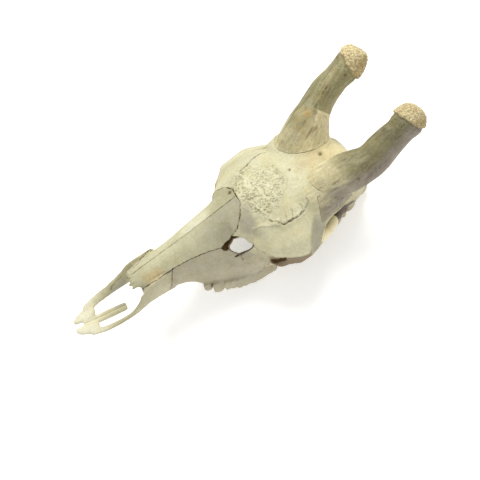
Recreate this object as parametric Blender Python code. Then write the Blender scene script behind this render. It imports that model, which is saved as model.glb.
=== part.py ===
"""Giraffe skull without its lower jaw: a young adult's cranium, life size, lying on its cheek teeth.

Metres, +X the animal's left, +Y towards the back of the head, +Z up. While the bones are built, the tips of
the premaxillae lie at y = 0 and the biting faces of the cheek teeth at z = 0. At the end the whole skull is
turned to where it rests and moved, so that it stands on z = 0 and the origin is below its middle.

The skull is modelled whole, from lofts, sweeps and ellipsoids, then hollowed and parted along its sutures.
"""

import math
import random

import bmesh
import bpy
from mathutils import Matrix, Vector

# Driving sizes of the whole skull, all in metres.
SUTURE_GAP = 0.0003
MASSIVE_VOXEL = 0.0024
FINE_VOXEL = 0.0018
TRIANGLES = 10000

# Lines along the skull, as (y, size) knots that a smooth curve joins.
ROOF_HEIGHT = ((0.120, 0.078), (0.160, 0.094), (0.222, 0.117), (0.285, 0.141), (0.345, 0.165),
               (0.400, 0.186), (0.478, 0.192), (0.540, 0.190), (0.590, 0.185))
NASAL_HALF_WIDTH = ((0.120, 0.017), (0.139, 0.023), (0.168, 0.027), (0.222, 0.030), (0.252, 0.034),
                    (0.285, 0.040), (0.318, 0.049), (0.400, 0.062))
NASAL_EDGE_DROP = ((0.120, 0.010), (0.168, 0.015), (0.222, 0.019), (0.252, 0.021), (0.285, 0.024),
                   (0.318, 0.033), (0.400, 0.032))
FLANK_HALF_WIDTH = ((0.150, 0.036), (0.190, 0.040), (0.222, 0.043), (0.255, 0.047), (0.285, 0.055),
                    (0.318, 0.065), (0.345, 0.076), (0.372, 0.084), (0.410, 0.084))
FLANK_HEIGHT = ((0.150, 0.060), (0.255, 0.062), (0.318, 0.070), (0.400, 0.076))
ALVEOLAR_HALF_WIDTH = ((0.150, 0.030), (0.222, 0.033), (0.250, 0.040), (0.285, 0.052), (0.318, 0.062),
                       (0.350, 0.067), (0.385, 0.067), (0.412, 0.061))
ALVEOLAR_HEIGHT = ((0.150, 0.024), (0.200, 0.040), (0.229, 0.044), (0.250, 0.036), (0.270, 0.020),
                   (0.412, 0.018))
# The edge of the flat top of the brow and the lower border of its side face, as (y, x, z). From its corner at
# y = 0.446 the edge runs in and back to the base of the horn core, as the crease of the temporal hollow.
BROW_EDGE = ((0.340, 0.070, 0.128), (0.368, 0.103, 0.128), (0.386, 0.1245, 0.130), (0.402, 0.132, 0.128),
             (0.414, 0.138, 0.1265), (0.430, 0.144, 0.126), (0.446, 0.1465, 0.1275), (0.455, 0.133, 0.1385),
             (0.465, 0.118, 0.151), (0.478, 0.101, 0.165), (0.500, 0.092, 0.169), (0.520, 0.088, 0.171),
             (0.560, 0.082, 0.166))
BROW_LOW = ((0.340, 0.067, 0.112), (0.368, 0.100, 0.108), (0.386, 0.131, 0.106), (0.402, 0.138, 0.103),
            (0.414, 0.1425, 0.103), (0.430, 0.1465, 0.108), (0.442, 0.1485, 0.115), (0.455, 0.145, 0.114),
            (0.469, 0.135, 0.109), (0.483, 0.118, 0.107), (0.493, 0.109, 0.116), (0.505, 0.104, 0.128),
            (0.520, 0.101, 0.136), (0.540, 0.096, 0.141), (0.560, 0.087, 0.145))
BRAINCASE_HALF_WIDTH = ((0.350, 0.040), (0.400, 0.044), (0.440, 0.047), (0.480, 0.058), (0.520, 0.068),
                        (0.560, 0.071), (0.588, 0.066), (0.604, 0.053))
BRAINCASE_TOP = ((0.350, 0.150), (0.400, 0.176), (0.480, 0.190), (0.530, 0.189), (0.560, 0.183),
                 (0.586, 0.179), (0.604, 0.158))
BRAINCASE_BOTTOM = ((0.350, 0.078), (0.400, 0.076), (0.480, 0.074), (0.560, 0.070), (0.588, 0.076),
                    (0.604, 0.088))

# The cheek teeth from front to back: length, width, number of lobes and how far each falls short of the
# biting face, and the middle of the row.
CHEEK_TEETH = ((0.016, 0.017, 1, 0.008), (0.021, 0.021, 1, 0.0), (0.023, 0.024, 2, 0.003),
               (0.027, 0.026, 2, 0.0), (0.030, 0.028, 2, 0.0), (0.029, 0.026, 2, 0.001))
FIRST_TOOTH = 0.260
TOOTH_ROW = ((0.257, 0.041), (0.263, 0.045), (0.290, 0.054), (0.330, 0.062), (0.370, 0.062), (0.410, 0.058))
ROOT_HEIGHT = 0.034

# The middle line of each horn core, with its radius, as (x, y, z, radius) from its base to its knob. The left
# one sags more than the right one.
HORNS = {
    1: ((0.050, 0.534, 0.158, 0.0485), (0.057, 0.537, 0.178, 0.0430), (0.069, 0.550, 0.197, 0.0370),
        (0.080, 0.567, 0.210, 0.0345), (0.0875, 0.587, 0.220, 0.0303), (0.092, 0.6025, 0.232, 0.0280),
        (0.094, 0.6158, 0.2494, 0.0270), (0.094, 0.6313, 0.2646, 0.0252), (0.0943, 0.6456, 0.2749, 0.0240),
        (0.0944, 0.6598, 0.2886, 0.0284)),
    -1: ((0.050, 0.534, 0.158, 0.0520), (0.0560, 0.5405, 0.1836, 0.0474), (0.0685, 0.5575, 0.2044, 0.0400),
         (0.0812, 0.5758, 0.218, 0.0318), (0.0896, 0.5932, 0.2308, 0.0284), (0.095, 0.6094, 0.2429, 0.0268),
         (0.0984, 0.6310, 0.2545, 0.0254), (0.0998, 0.6490, 0.2648, 0.0262), (0.1012, 0.6600, 0.2705, 0.0288),
         (0.1021, 0.6654, 0.2766, 0.0284)),
}
HORN_STRETCH = (1.29, 1.29, 1.17, 1.10, 1.04, 1.02, 1.0, 1.0, 1.0, 1.0)
KNOB_SQUARENESS = 2.5
BROW_ROUNDNESS = 2.05

# The blade of a premaxilla, as (x, y, z, half height, half thickness, lean, height missing on the left).
BLADE = ((0.027, 0.031, 0.008, 0.0100, 0.0045, -15, 0.0), (0.036, 0.056, 0.012, 0.0100, 0.0042, -30, 0.0),
         (0.0400, 0.083, 0.018, 0.0105, 0.0042, -42, 0.0), (0.0410, 0.108, 0.027, 0.0125, 0.0044, -55, 0.006),
         (0.0405, 0.127, 0.036, 0.0158, 0.0046, -66, 0.010),
         (0.0403, 0.134, 0.039, 0.0172, 0.0046, -70, 0.005),
         (0.0385, 0.147, 0.047, 0.0215, 0.0050, -76, 0.006),
         (0.0370, 0.157, 0.051, 0.0245, 0.0056, -80, 0.002),
         (0.0345, 0.180, 0.060, 0.0265, 0.0066, -85, 0.0), (0.0348, 0.205, 0.068, 0.0270, 0.0072, -88, 0.0))

# The solids that take single bones off the whole skull: side outlines as (y, z) points, half widths of the
# nasal suture, and the radii of the bowls under the horn cores.
NASAL_SUTURE_WIDTH = ((0.120, 0.030), (0.168, 0.031), (0.222, 0.032), (0.252, 0.038), (0.285, 0.044),
                      (0.318, 0.051), (0.335, 0.048), (0.350, 0.040), (0.360, 0.030), (0.368, 0.017),
                      (0.374, 0.006))
NASAL_SUTURE_HEIGHT = ((0.120, 0.064), (0.168, 0.080), (0.222, 0.097), (0.252, 0.109), (0.285, 0.117),
                       (0.318, 0.122), (0.335, 0.134), (0.350, 0.142), (0.368, 0.157), (0.374, 0.168))
CHEEK_OUTLINE = ((0.376, 0.040), (0.384, 0.068), (0.396, 0.088), (0.440, 0.090), (0.452, 0.099),
                 (0.478, 0.1035), (0.500, 0.126), (0.510, 0.080), (0.470, 0.040))
CHEEK_INNER = 0.066
SKIRT_OUTLINE = ((0.491, 0.137), (0.492, 0.178), (0.499, 0.204), (0.598, 0.214), (0.598, 0.156),
                 (0.545, 0.149))
HORN_SEATS = {1: (0.046, 0.047, 0.030), -1: (0.048, 0.066, 0.030)}
PREMAXILLA_OUTLINE = ((-0.020, -0.030), (-0.020, 0.100), (0.160, 0.130), (0.224, 0.110), (0.198, 0.047),
                      (0.176, -0.030))
MAXILLA_OUTLINE = ((0.100, -0.030), (0.100, 0.300), (0.328, 0.300), (0.334, 0.126), (0.372, 0.113),
                   (0.388, 0.103), (0.398, 0.088), (0.406, 0.060), (0.4145, 0.030), (0.4145, -0.030))

# The outline of the opening in front of the orbit, as points on the outer face and on the inner one.
FENESTRA = (((0.050, 0.321, 0.120), (0.0555, 0.327, 0.115)), ((0.0445, 0.339, 0.130), (0.0505, 0.341, 0.124)),
            ((0.0545, 0.3495, 0.135), (0.0555, 0.350, 0.134)),
            ((0.063, 0.3565, 0.135), (0.063, 0.3565, 0.134)),
            ((0.070, 0.361, 0.127), (0.070, 0.361, 0.127)), ((0.0765, 0.370, 0.121), (0.076, 0.369, 0.121)),
            ((0.0735, 0.361, 0.109), (0.0725, 0.360, 0.109)),
            ((0.067, 0.338, 0.1005), (0.066, 0.338, 0.1025)),
            ((0.059, 0.326, 0.110), (0.060, 0.329, 0.110)))

BONE_COLOURS = {
    "cranium": (0.60, 0.56, 0.40), "nasal": (0.58, 0.53, 0.36), "maxilla": (0.57, 0.53, 0.40),
    "premaxilla": (0.63, 0.58, 0.42), "zygomatic": (0.50, 0.44, 0.32), "ossicone": (0.55, 0.50, 0.33),
}
BONE_ROUGHNESS = 0.62


def clear_scene():
    for obj in list(bpy.data.objects):
        bpy.data.objects.remove(obj)


def along(knots, y):
    """The value at y of the smooth curve through knots (Catmull-Rom, level beyond its ends)."""
    if y <= knots[0][0]:
        return knots[0][1]
    if y >= knots[-1][0]:
        return knots[-1][1]
    i = max(k for k in range(len(knots) - 1) if knots[k][0] <= y)
    (y0, v0), (y1, v1) = knots[i], knots[i + 1]

    def slope(k):
        low, high = max(k - 1, 0), min(k + 1, len(knots) - 1)
        return (knots[high][1] - knots[low][1]) / (knots[high][0] - knots[low][0])

    t = (y - y0) / (y1 - y0)
    step = y1 - y0
    return (
        (2 * t**3 - 3 * t**2 + 1) * v0
        + (t**3 - 2 * t**2 + t) * step * slope(i)
        + (3 * t**2 - 2 * t**3) * v1
        + (t**3 - t**2) * step * slope(i + 1)
    )


def steps(start, stop, count):
    return [start + (stop - start) * k / (count - 1) for k in range(count)]


def smooth_loop(points, per_span):
    """A closed Catmull-Rom curve through 2-D points, with per_span samples to each span."""
    count = len(points)
    loop = []
    for i in range(count):
        a, b, c, d = (Vector(points[(i + k) % count]) for k in (-1, 0, 1, 2))
        for s in range(per_span):
            t = s / per_span
            loop.append(
                0.5 * (2 * b + (c - a) * t + (2 * a - 5 * b + 4 * c - d) * t**2
                       + (3 * b - a - 3 * c + d) * t**3)
            )
    return loop


def smooth_path(points, per_span):
    """An open Catmull-Rom curve through points."""
    ends = [2 * Vector(points[0]) - Vector(points[1]), *map(Vector, points),
            2 * Vector(points[-1]) - Vector(points[-2])]
    path = []
    for i in range(1, len(ends) - 2):
        a, b, c, d = ends[i - 1 : i + 3]
        for s in range(per_span):
            t = s / per_span
            path.append(
                0.5 * (2 * b + (c - a) * t + (2 * a - 5 * b + 4 * c - d) * t**2
                       + (3 * b - a - 3 * c + d) * t**3)
            )
    path.append(Vector(points[-1]))
    return path


def mirrored_outline(half):
    """A whole outline from the points of its left half, which start and end on the midline."""
    return list(half) + [(-x, z) for x, z in reversed(half[1:-1])]


def object_from(name, bm):
    bmesh.ops.recalc_face_normals(bm, faces=bm.faces)
    mesh = bpy.data.meshes.new(name)
    bm.to_mesh(mesh)
    bm.free()
    obj = bpy.data.objects.new(name, mesh)
    bpy.context.scene.collection.objects.link(obj)
    return obj


def loft(name, rings):
    """A closed solid through rings of equally many points, capped at both ends."""
    bm = bmesh.new()
    loops = [[bm.verts.new(p) for p in ring] for ring in rings]
    for low, high in zip(loops, loops[1:]):
        for k in range(len(low)):
            nxt = (k + 1) % len(low)
            bm.faces.new((low[k], low[nxt], high[nxt], high[k]))
    for cap in (loops[0], loops[-1]):
        bm.faces.new(cap)
    bmesh.ops.triangulate(bm, faces=bm.faces)
    return object_from(name, bm)


def sweep(name, points, sizes, sides=14, per_span=6):
    """A solid bar along a smooth path. sizes gives (half width, half depth, lean) at each point: the width
    lies across the path and level, and the lean, which may be left out, tilts it about the path, in degrees.
    """
    path = smooth_path(points, per_span)
    sizes = [(*size, 0.0)[:3] for size in sizes]
    rings = []
    for i, centre in enumerate(path):
        k = min(i // per_span, len(points) - 2)
        t = i / per_span - k
        t = t * t * (3 - 2 * t)
        wide, deep, lean = (a * (1 - t) + b * t for a, b in zip(sizes[k], sizes[k + 1]))
        ahead = path[min(i + 1, len(path) - 1)] - path[max(i - 1, 0)]
        ahead.normalize()
        level = ahead.cross(Vector((0, 0, 1)))
        if level.length < 1e-4:
            level = Vector((1, 0, 0))
        level = Matrix.Rotation(math.radians(lean), 3, ahead) @ level.normalized()
        upright = level.cross(ahead)
        rings.append([
            centre + level * wide * math.cos(a) + upright * deep * math.sin(a)
            for a in (2 * math.pi * s / sides for s in range(sides))
        ])
    return loft(name, rings)


def ellipsoid(name, centre, radii, turn=(0, 0, 0)):
    """turn is in degrees about X, Y and Z."""
    bm = bmesh.new()
    bmesh.ops.create_icosphere(bm, subdivisions=3, radius=1.0)
    rotation = (
        Matrix.Rotation(math.radians(turn[2]), 4, "Z")
        @ Matrix.Rotation(math.radians(turn[1]), 4, "Y")
        @ Matrix.Rotation(math.radians(turn[0]), 4, "X")
    )
    bmesh.ops.transform(
        bm, matrix=Matrix.Translation(centre) @ rotation @ Matrix.Diagonal((*radii, 1)), verts=bm.verts
    )
    return object_from(name, bm)


def mirrored(obj):
    """A copy of obj on the other side of the midline."""
    twin = obj.copy()
    twin.data = obj.data.copy()
    bm = bmesh.new()
    bm.from_mesh(twin.data)
    bmesh.ops.transform(bm, matrix=Matrix.Diagonal((-1, 1, 1, 1)), verts=bm.verts)
    bmesh.ops.reverse_faces(bm, faces=bm.faces)
    bm.to_mesh(twin.data)
    bm.free()
    bpy.context.scene.collection.objects.link(twin)
    return twin


def both_sides(obj):
    return [obj, mirrored(obj)]


def baked(obj):
    """Applies obj's modifiers."""
    graph = bpy.context.evaluated_depsgraph_get()
    mesh = bpy.data.meshes.new_from_object(obj.evaluated_get(graph))
    obj.modifiers.clear()
    obj.data = mesh
    return obj


def joined(name, objects):
    """One object that holds the meshes of all, which are then removed."""
    bm = bmesh.new()
    for obj in objects:
        bm.from_mesh(obj.data)
        bpy.data.objects.remove(obj)
    mesh = bpy.data.meshes.new(name)
    bm.to_mesh(mesh)
    bm.free()
    whole = bpy.data.objects.new(name, mesh)
    bpy.context.scene.collection.objects.link(whole)
    return whole


def remeshed(obj, voxel):
    modifier = obj.modifiers.new("Remesh", "REMESH")
    modifier.mode = "VOXEL"
    modifier.voxel_size = voxel
    return baked(obj)


def cut(obj, cutters, operation="DIFFERENCE", solver="MANIFOLD"):
    """Boolean of obj with each cutter in turn."""
    for cutter in cutters:
        modifier = obj.modifiers.new("Cut", "BOOLEAN")
        modifier.operation = operation
        modifier.solver = solver
        modifier.object = cutter
        baked(obj)
    return obj


def removed(objects):
    for obj in objects:
        bpy.data.objects.remove(obj)


def largest_surface_only(obj):
    """Leaves only the faces that join obj's largest surface edge to edge."""
    bm = bmesh.new()
    bm.from_mesh(obj.data)
    left = set(bm.faces)
    groups = []
    while left:
        front = [left.pop()]
        group = set(front)
        while front:
            for edge in front.pop().edges:
                across = [face for face in edge.link_faces if face in left]
                if len(edge.link_faces) == 2 and across:
                    left.discard(across[0])
                    group.add(across[0])
                    front.append(across[0])
        groups.append(group)
    keep = max(groups, key=len)
    bmesh.ops.delete(bm, geom=[f for f in bm.faces if f not in keep], context="FACES")
    bm.to_mesh(obj.data)
    bm.free()
    return obj


def face_block():
    """The muzzle and cheeks, from the nasal opening to the front of the orbits."""
    rings = []
    for y in steps(0.150, 0.410, 27):
        roof = along(ROOF_HEIGHT, y)
        nasal = along(NASAL_HALF_WIDTH, y)
        edge = roof - along(NASAL_EDGE_DROP, y)
        flank = along(FLANK_HALF_WIDTH, y)
        low = along(ALVEOLAR_HEIGHT, y)
        half = [
            (0, roof),
            (0.55 * nasal, roof - 0.22 * (roof - edge)),
            (nasal, edge),
            (0.5 * (nasal + flank), edge - 0.35 * (edge - along(FLANK_HEIGHT, y))),
            (flank, along(FLANK_HEIGHT, y)),
            (along(ALVEOLAR_HALF_WIDTH, y), low),
            (0.55 * along(ALVEOLAR_HALF_WIDTH, y), low + 0.006),
            (0, low + 0.012),
        ]
        rings.append([(p.x, y, p.y) for p in smooth_loop(mirrored_outline(half), 3)])
    return loft("face", rings)


def brow_shelf():
    """The frontal bones: flat slopes that end in an edge over the orbits, with a side face below it."""
    edges = [[(row[0], row[k]) for row in BROW_EDGE] for k in (1, 2)]
    lows = [[(row[0], row[k]) for row in BROW_LOW] for k in (1, 2)]
    rings = []
    for y in steps(0.340, 0.560, 56):
        roof = along(ROOF_HEIGHT, y)
        edge_x, edge_z = (along(knots, y) for knots in edges)
        low_x, low_z = (along(knots, y) for knots in lows)
        half = [(edge_x * s, edge_z + (roof - edge_z) * (1 - s**BROW_ROUNDNESS))
                for s in (0, 0.15, 0.3, 0.45, 0.6, 0.75, 0.88, 1)]
        half += [((edge_x + low_x) / 2, (edge_z + low_z) / 2), (low_x, low_z), (0.80 * low_x, low_z + 0.006),
                 (0.45 * low_x, low_z + 0.004), (0, low_z)]
        rings.append([(x, y, z) for x, z in mirrored_outline(half)])
    return loft("brow", rings)


def braincase():
    rings = []
    for y in steps(0.350, 0.606, 24):
        wide = along(BRAINCASE_HALF_WIDTH, y)
        top, bottom = along(BRAINCASE_TOP, y), along(BRAINCASE_BOTTOM, y)
        middle, half_height = (top + bottom) / 2, (top - bottom) / 2
        squareness = 0.8
        ring = []
        for k in range(28):
            a = 2 * math.pi * k / 28
            c, s = math.cos(a), math.sin(a)
            ring.append((
                wide * math.copysign(abs(c) ** squareness, c),
                y,
                middle + half_height * math.copysign(abs(s) ** squareness, s),
            ))
        rings.append(ring)
    return loft("braincase", rings)


def knob_rings(centre, ahead, radius):
    """(centre, radius) of the rings that close the end of a horn core as a blunt knob."""
    rings = []
    for s in (0.3, 0.55, 0.75, 0.88, 0.96, 0.995):
        narrowing = (1 - s**KNOB_SQUARENESS) ** (1 / KNOB_SQUARENESS)
        rings.append((centre + ahead * radius * s, radius * narrowing))
    return rings


def ossicone(side):
    """A horn core that rises from the roof and leans back and out to a knob, with lumps of its own."""
    draw = random.Random(11 if side > 0 else 29)
    lumps = [(draw.uniform(0.25, 0.80), draw.uniform(0, 2 * math.pi), draw.uniform(0.0010, 0.0024))
             for _ in range(8)]
    per_span = 4
    rows = [(side * x, y, z, radius) for x, y, z, radius in HORNS[side]]
    path = smooth_path([row[:3] for row in rows], per_span)
    sizes = []
    for i in range(len(path)):
        k = min(i // per_span, len(rows) - 2)
        t = i / per_span - k
        radius = rows[k][3] * (1 - t) + rows[k + 1][3] * t
        stretch = HORN_STRETCH[k] * (1 - t) + HORN_STRETCH[k + 1] * t
        sizes.append((2 * radius / (1 + stretch), 2 * radius * stretch / (1 + stretch)))
    ahead = (path[-1] - path[-3]).normalized()
    for centre, radius in knob_rings(path[-1].copy(), ahead, rows[-1][3]):
        path.append(centre)
        sizes.append((radius, radius))
    rings = []
    for i, (centre, (wide, long)) in enumerate(zip(path, sizes)):
        t = i / (len(path) - 1)
        ahead = (path[min(i + 1, len(path) - 1)] - path[max(i - 1, 0)]).normalized()
        across = (Vector((1, 0, 0)) - ahead * ahead.x).normalized()
        back = ahead.cross(across)
        ring = []
        for s in range(20):
            a = 2 * math.pi * s / 20
            lump = sum(
                h * math.exp(-(((t - at) / 0.08) ** 2)) * max(0.0, math.cos(a - angle)) ** 2
                for at, angle, h in lumps
            )
            ring.append(centre + across * (wide + lump) * math.cos(a) + back * (long + lump) * math.sin(a))
        rings.append(ring)
    return loft("ossicone", rings)


def tooth_column(centre, radii, tip):
    """A tapered cusp that hangs from inside the jaw to tip."""
    rings = []
    for height, size in ((ROOT_HEIGHT, 0.9), (tip + 0.016, 1), (tip + 0.006, 0.92), (tip + 0.002, 0.62),
                         (tip, 0.16)):
        rings.append([
            (centre[0] + size * radii[0] * math.cos(a), centre[1] + size * radii[1] * math.sin(a), height)
            for a in (2 * math.pi * k / 10 for k in range(10))
        ])
    return loft("cusp", rings)


def horn_boss():
    """The swelling of the frontal bone that the left horn core stands on."""
    return ellipsoid("boss", (0.066, 0.512, 0.174), (0.040, 0.046, 0.023), (0, 18, 0))


def cheek_teeth():
    """The left row: each lobe has an outer and an inner crescent, and a rib stands between the lobes."""
    draw = random.Random(5)
    cusps = []
    front = FIRST_TOOTH
    for length, width, lobes, short in CHEEK_TEETH:
        for lobe in range(lobes):
            middle = front + length * (lobe + 0.5) / lobes
            row = along(TOOTH_ROW, middle)
            reach = 0.52 * length / lobes
            wear = short + draw.uniform(0.0, 0.0015)
            cusps.append(tooth_column((row + 0.25 * width, middle), (0.24 * width, reach), wear))
            inner = (0.28 * width, 0.9 * reach)
            cusps.append(tooth_column((row - 0.20 * width, middle), inner, wear + 0.0022))
            edge = front + length * lobe / lobes
            rib = (along(TOOTH_ROW, edge) + 0.44 * width, edge + 0.001)
            cusps.append(tooth_column(rib, (0.0026, 0.0030), short + 0.004))
        front += length
    return cusps


def jugal_and_arch():
    """The lower rim of the orbit, the post-orbital bar, the zygomatic arch and the seat of the lower jaw."""
    rim = sweep(
        "rim",
        [(0.064, 0.350, 0.066), (0.075, 0.374, 0.070), (0.085, 0.396, 0.067), (0.095, 0.420, 0.064),
         (0.106, 0.444, 0.072), (0.112, 0.464, 0.087), (0.1065, 0.489, 0.0995), (0.097, 0.511, 0.1045),
         (0.074, 0.538, 0.102), (0.062, 0.554, 0.096)],
        [(0.014, 0.022), (0.012, 0.018), (0.010, 0.013), (0.0080, 0.0105), (0.0080, 0.0105),
         (0.0065, 0.010), (0.0060, 0.0080), (0.0070, 0.0085), (0.0090, 0.0095), (0.0110, 0.0110)],
    )
    post = sweep(
        "post_orbital_bar",
        [(0.105, 0.446, 0.074), (0.113, 0.457, 0.090), (0.120, 0.464, 0.106), (0.114, 0.467, 0.124)],
        [(0.011, 0.007), (0.0095, 0.007), (0.012, 0.008), (0.016, 0.010)],
    )
    glenoid = ellipsoid("glenoid", (0.074, 0.523, 0.099), (0.021, 0.020, 0.0075))
    return [rim, post, glenoid]


def premaxilla(side):
    """A premaxilla: a flat front plate, a blade that rises to the nasal bone, and the thin inner rod.

    The left blade has lost a part of its upper edge.
    """
    plate = sweep(
        "plate",
        [(0.0085, 0.001, 0.0055), (0.0140, 0.015, 0.006), (0.0175, 0.031, 0.007), (0.023, 0.047, 0.009)],
        [(0.0045, 0.0035), (0.0110, 0.0048), (0.0145, 0.0050), (0.0120, 0.0046)],
    )
    centres = []
    sizes = []
    for x, y, z, half, thick, lean, missing in BLADE:
        lost = missing if side > 0 else 0.0
        centres.append((x, y, z - lost / 2))
        sizes.append((half - lost / 2, thick, lean))
    blade = sweep("blade", centres, sizes)
    rod = sweep(
        "palatine_process",
        [(0.0040, 0.020, 0.003), (0.0042, 0.045, 0.001), (0.0044, 0.083, 0.002), (0.0040, 0.109, 0.003)],
        [(0.0042, 0.0050), (0.0050, 0.0056), (0.0053, 0.0062), (0.0046, 0.0054)],
    )
    pieces = [plate, blade, rod]
    if side > 0:
        return pieces
    twins = [mirrored(piece) for piece in pieces]
    removed(pieces)
    return twins


def skull_base():
    """Condyles, ear region, nuchal crest and pterygoid plates, with the bar along the middle."""
    middle = sweep(
        "basioccipital",
        [(0, 0.420, 0.080), (0, 0.500, 0.074), (0, 0.560, 0.070), (0, 0.606, 0.078)],
        [(0.020, 0.012), (0.022, 0.012), (0.026, 0.012), (0.030, 0.014)],
    )
    condyle = ellipsoid("condyle", (0.0260, 0.603, 0.091), (0.017, 0.024, 0.022), (-25, 0, 14))
    bulla = ellipsoid("bulla", (0.038, 0.552, 0.064), (0.012, 0.018, 0.014))
    meatus = sweep("meatus", [(0.044, 0.552, 0.074), (0.060, 0.550, 0.083), (0.073, 0.548, 0.090)],
                   [(0.010, 0.010), (0.009, 0.009), (0.0075, 0.0075)])
    process = sweep(
        "paroccipital",
        [(0.050, 0.577, 0.104), (0.048, 0.577, 0.084), (0.046, 0.575, 0.070), (0.043, 0.570, 0.058)],
        [(0.013, 0.012), (0.010, 0.010), (0.008, 0.0085), (0.0060, 0.0060)],
    )
    crest = sweep(
        "nuchal_crest",
        [(0.000, 0.594, 0.158), (0.034, 0.594, 0.157), (0.056, 0.588, 0.148), (0.060, 0.577, 0.130),
         (0.056, 0.568, 0.110), (0.050, 0.565, 0.092)],
        [(0.009, 0.008), (0.009, 0.008), (0.010, 0.009), (0.010, 0.009), (0.009, 0.009), (0.009, 0.009)],
    )
    pterygoid = sweep(
        "pterygoid",
        [(0.029, 0.398, 0.050), (0.028, 0.425, 0.052), (0.026, 0.455, 0.058), (0.024, 0.490, 0.068)],
        [(0.0036, 0.026), (0.0034, 0.026), (0.0034, 0.020), (0.0036, 0.012)],
    )
    pieces = [middle]
    for piece in (condyle, bulla, meatus, process, crest, pterygoid):
        pieces += both_sides(piece)
    return pieces


def nasal_plates():
    """The free front ends of the nasal bones, which overhang the nasal opening."""
    rings = []
    for y in steps(0.128, 0.200, 8):
        roof, wide = along(ROOF_HEIGHT, y), along(NASAL_HALF_WIDTH, y)
        thick = 0.005
        drop = along(NASAL_EDGE_DROP, y)
        half = [(0, roof), (0.55 * wide, roof - 0.25 * drop), (wide, roof - drop),
                (wide, roof - drop - thick),
                (0.5 * wide, roof - 0.3 * drop - thick), (0, roof - thick)]
        rings.append([(p.x, y, p.y) for p in smooth_loop(mirrored_outline(half), 3)])
    return loft("nasal_plates", rings)


def nasal_notches():
    """What the ragged front ends of the nasal bones leave open, as (x, y) points of its hind edge."""
    half = [(0.000, 0.136), (0.005, 0.134), (0.011, 0.132), (0.0135, 0.1325), (0.0155, 0.139),
            (0.0175, 0.1395), (0.0195, 0.134), (0.0215, 0.1325), (0.0222, 0.140), (0.0235, 0.148),
            (0.0255, 0.156), (0.0275, 0.162), (0.030, 0.166)]
    hind = [(-x, y + 0.002) for x, y in reversed(half[1:])] + half
    outline = hind + [(0.031, 0.100), (-0.031, 0.100)]
    return loft("notches", [[(x, y, z) for x, y in outline] for z in (0.050, 0.130)])


def nasal_cavity():
    """The hollow of the nose, open in front and, through the choanae, behind."""
    rings = []
    for y in steps(0.140, 0.432, 24):
        roof = along(ROOF_HEIGHT, y) - 0.0085 - max(0, y - 0.36) * 0.55
        side = min(along(FLANK_HALF_WIDTH, y) - 0.0085, 0.052)
        side = min(side, 0.052 - max(0, y - 0.345) * 0.45)
        floor = along(ALVEOLAR_HEIGHT, y) + 0.022 + max(0, y - 0.36) * 0.25
        half = [(0, roof), (0.5 * side, roof - 0.010), (0.8 * side, roof - 0.034), (side, (roof + floor) / 2),
                (0.85 * side, floor + 0.006), (0, floor)]
        rings.append([(p.x, y, p.y) for p in smooth_loop(mirrored_outline(half), 3)])
    return loft("nasal_cavity", rings)


def choana():
    """The hind opening of the nose, between the palatine plates."""
    return sweep(
        "choana",
        [(0, 0.352, 0.075), (0, 0.362, 0.040), (0, 0.368, -0.020)],
        [(0.024, 0.026), (0.029, 0.026), (0.040, 0.034)],
    )


def throat():
    """The channel between the pterygoid plates, behind the choanae."""
    return sweep(
        "throat",
        [(0, 0.350, 0.030), (0, 0.400, 0.035), (0, 0.440, 0.040), (0, 0.520, 0.030)],
        [(0.022, 0.024), (0.024, 0.028), (0.023, 0.024), (0.021, 0.020)],
    )


def palate_vault():
    return sweep(
        "palate_vault",
        [(0, 0.120, 0.004), (0, 0.230, 0.016), (0, 0.300, 0.010), (0, 0.420, 0.010)],
        [(0.020, 0.020), (0.020, 0.022), (0.032, 0.024), (0.046, 0.026)],
    )


def fenestra():
    """The opening in front of the orbit, between nasal, frontal, lacrimal and maxilla.

    It slants inwards, and its front wall slants more than the others.
    """
    inwards = Vector((-0.593, 0.131, -0.794))
    rings = [[Vector(outer) - inwards * 0.035 for outer, _ in FENESTRA]]
    rings.append([Vector(outer) for outer, _ in FENESTRA])
    rings.append([Vector(inner) + inwards * 0.010 for _, inner in FENESTRA])
    rings.append([Vector(inner) + inwards * 0.060 for _, inner in FENESTRA])
    return loft("fenestra", rings)


def orbit():
    return ellipsoid("orbit", (0.108, 0.422, 0.083), (0.055, 0.032, 0.0290), (0, -8, -12))


def hind_opening():
    return sweep("foramen_magnum", [(0, 0.56, 0.092), (0, 0.66, 0.084)], [(0.018, 0.017), (0.020, 0.020)])


def softened(obj, passes):
    smooth = obj.modifiers.new("Soften", "SMOOTH")
    smooth.iterations = passes
    smooth.factor = 0.5
    return baked(obj)


def whole_skull():
    massive = [face_block(), brow_shelf(), braincase(), ossicone(1), ossicone(-1), *both_sides(horn_boss())]
    skull = softened(remeshed(joined("skull", massive), MASSIVE_VOXEL), 14)
    sockets = both_sides(orbit())
    cut(skull, sockets)
    slight = [skull, nasal_plates(), *skull_base()]
    for piece in jugal_and_arch():
        slight += both_sides(piece)
    slight += [*premaxilla(1), *premaxilla(-1)]
    skull = softened(remeshed(joined("skull", slight), FINE_VOXEL), 3)
    hollows = [nasal_notches(), nasal_cavity(), choana(), throat(), palate_vault(), hind_opening(),
               *both_sides(fenestra())]
    cut(skull, hollows)
    removed(sockets + hollows)
    teeth = [tooth for cusp in cheek_teeth() for tooth in both_sides(cusp)]
    skull = softened(remeshed(joined("skull", [skull, *teeth]), FINE_VOXEL), 2)
    largest_surface_only(skull)
    coarse = skull.modifiers.new("Facets", "DECIMATE")
    coarse.ratio = TRIANGLES / len(skull.data.polygons) / 2
    return baked(skull)


def prism(name, outline, inner, outer):
    """A solid with a side outline of (y, z) points, from x = inner to x = outer."""
    return loft(name, [[(x, y, z) for y, z in outline] for x in (inner, outer)])


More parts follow.
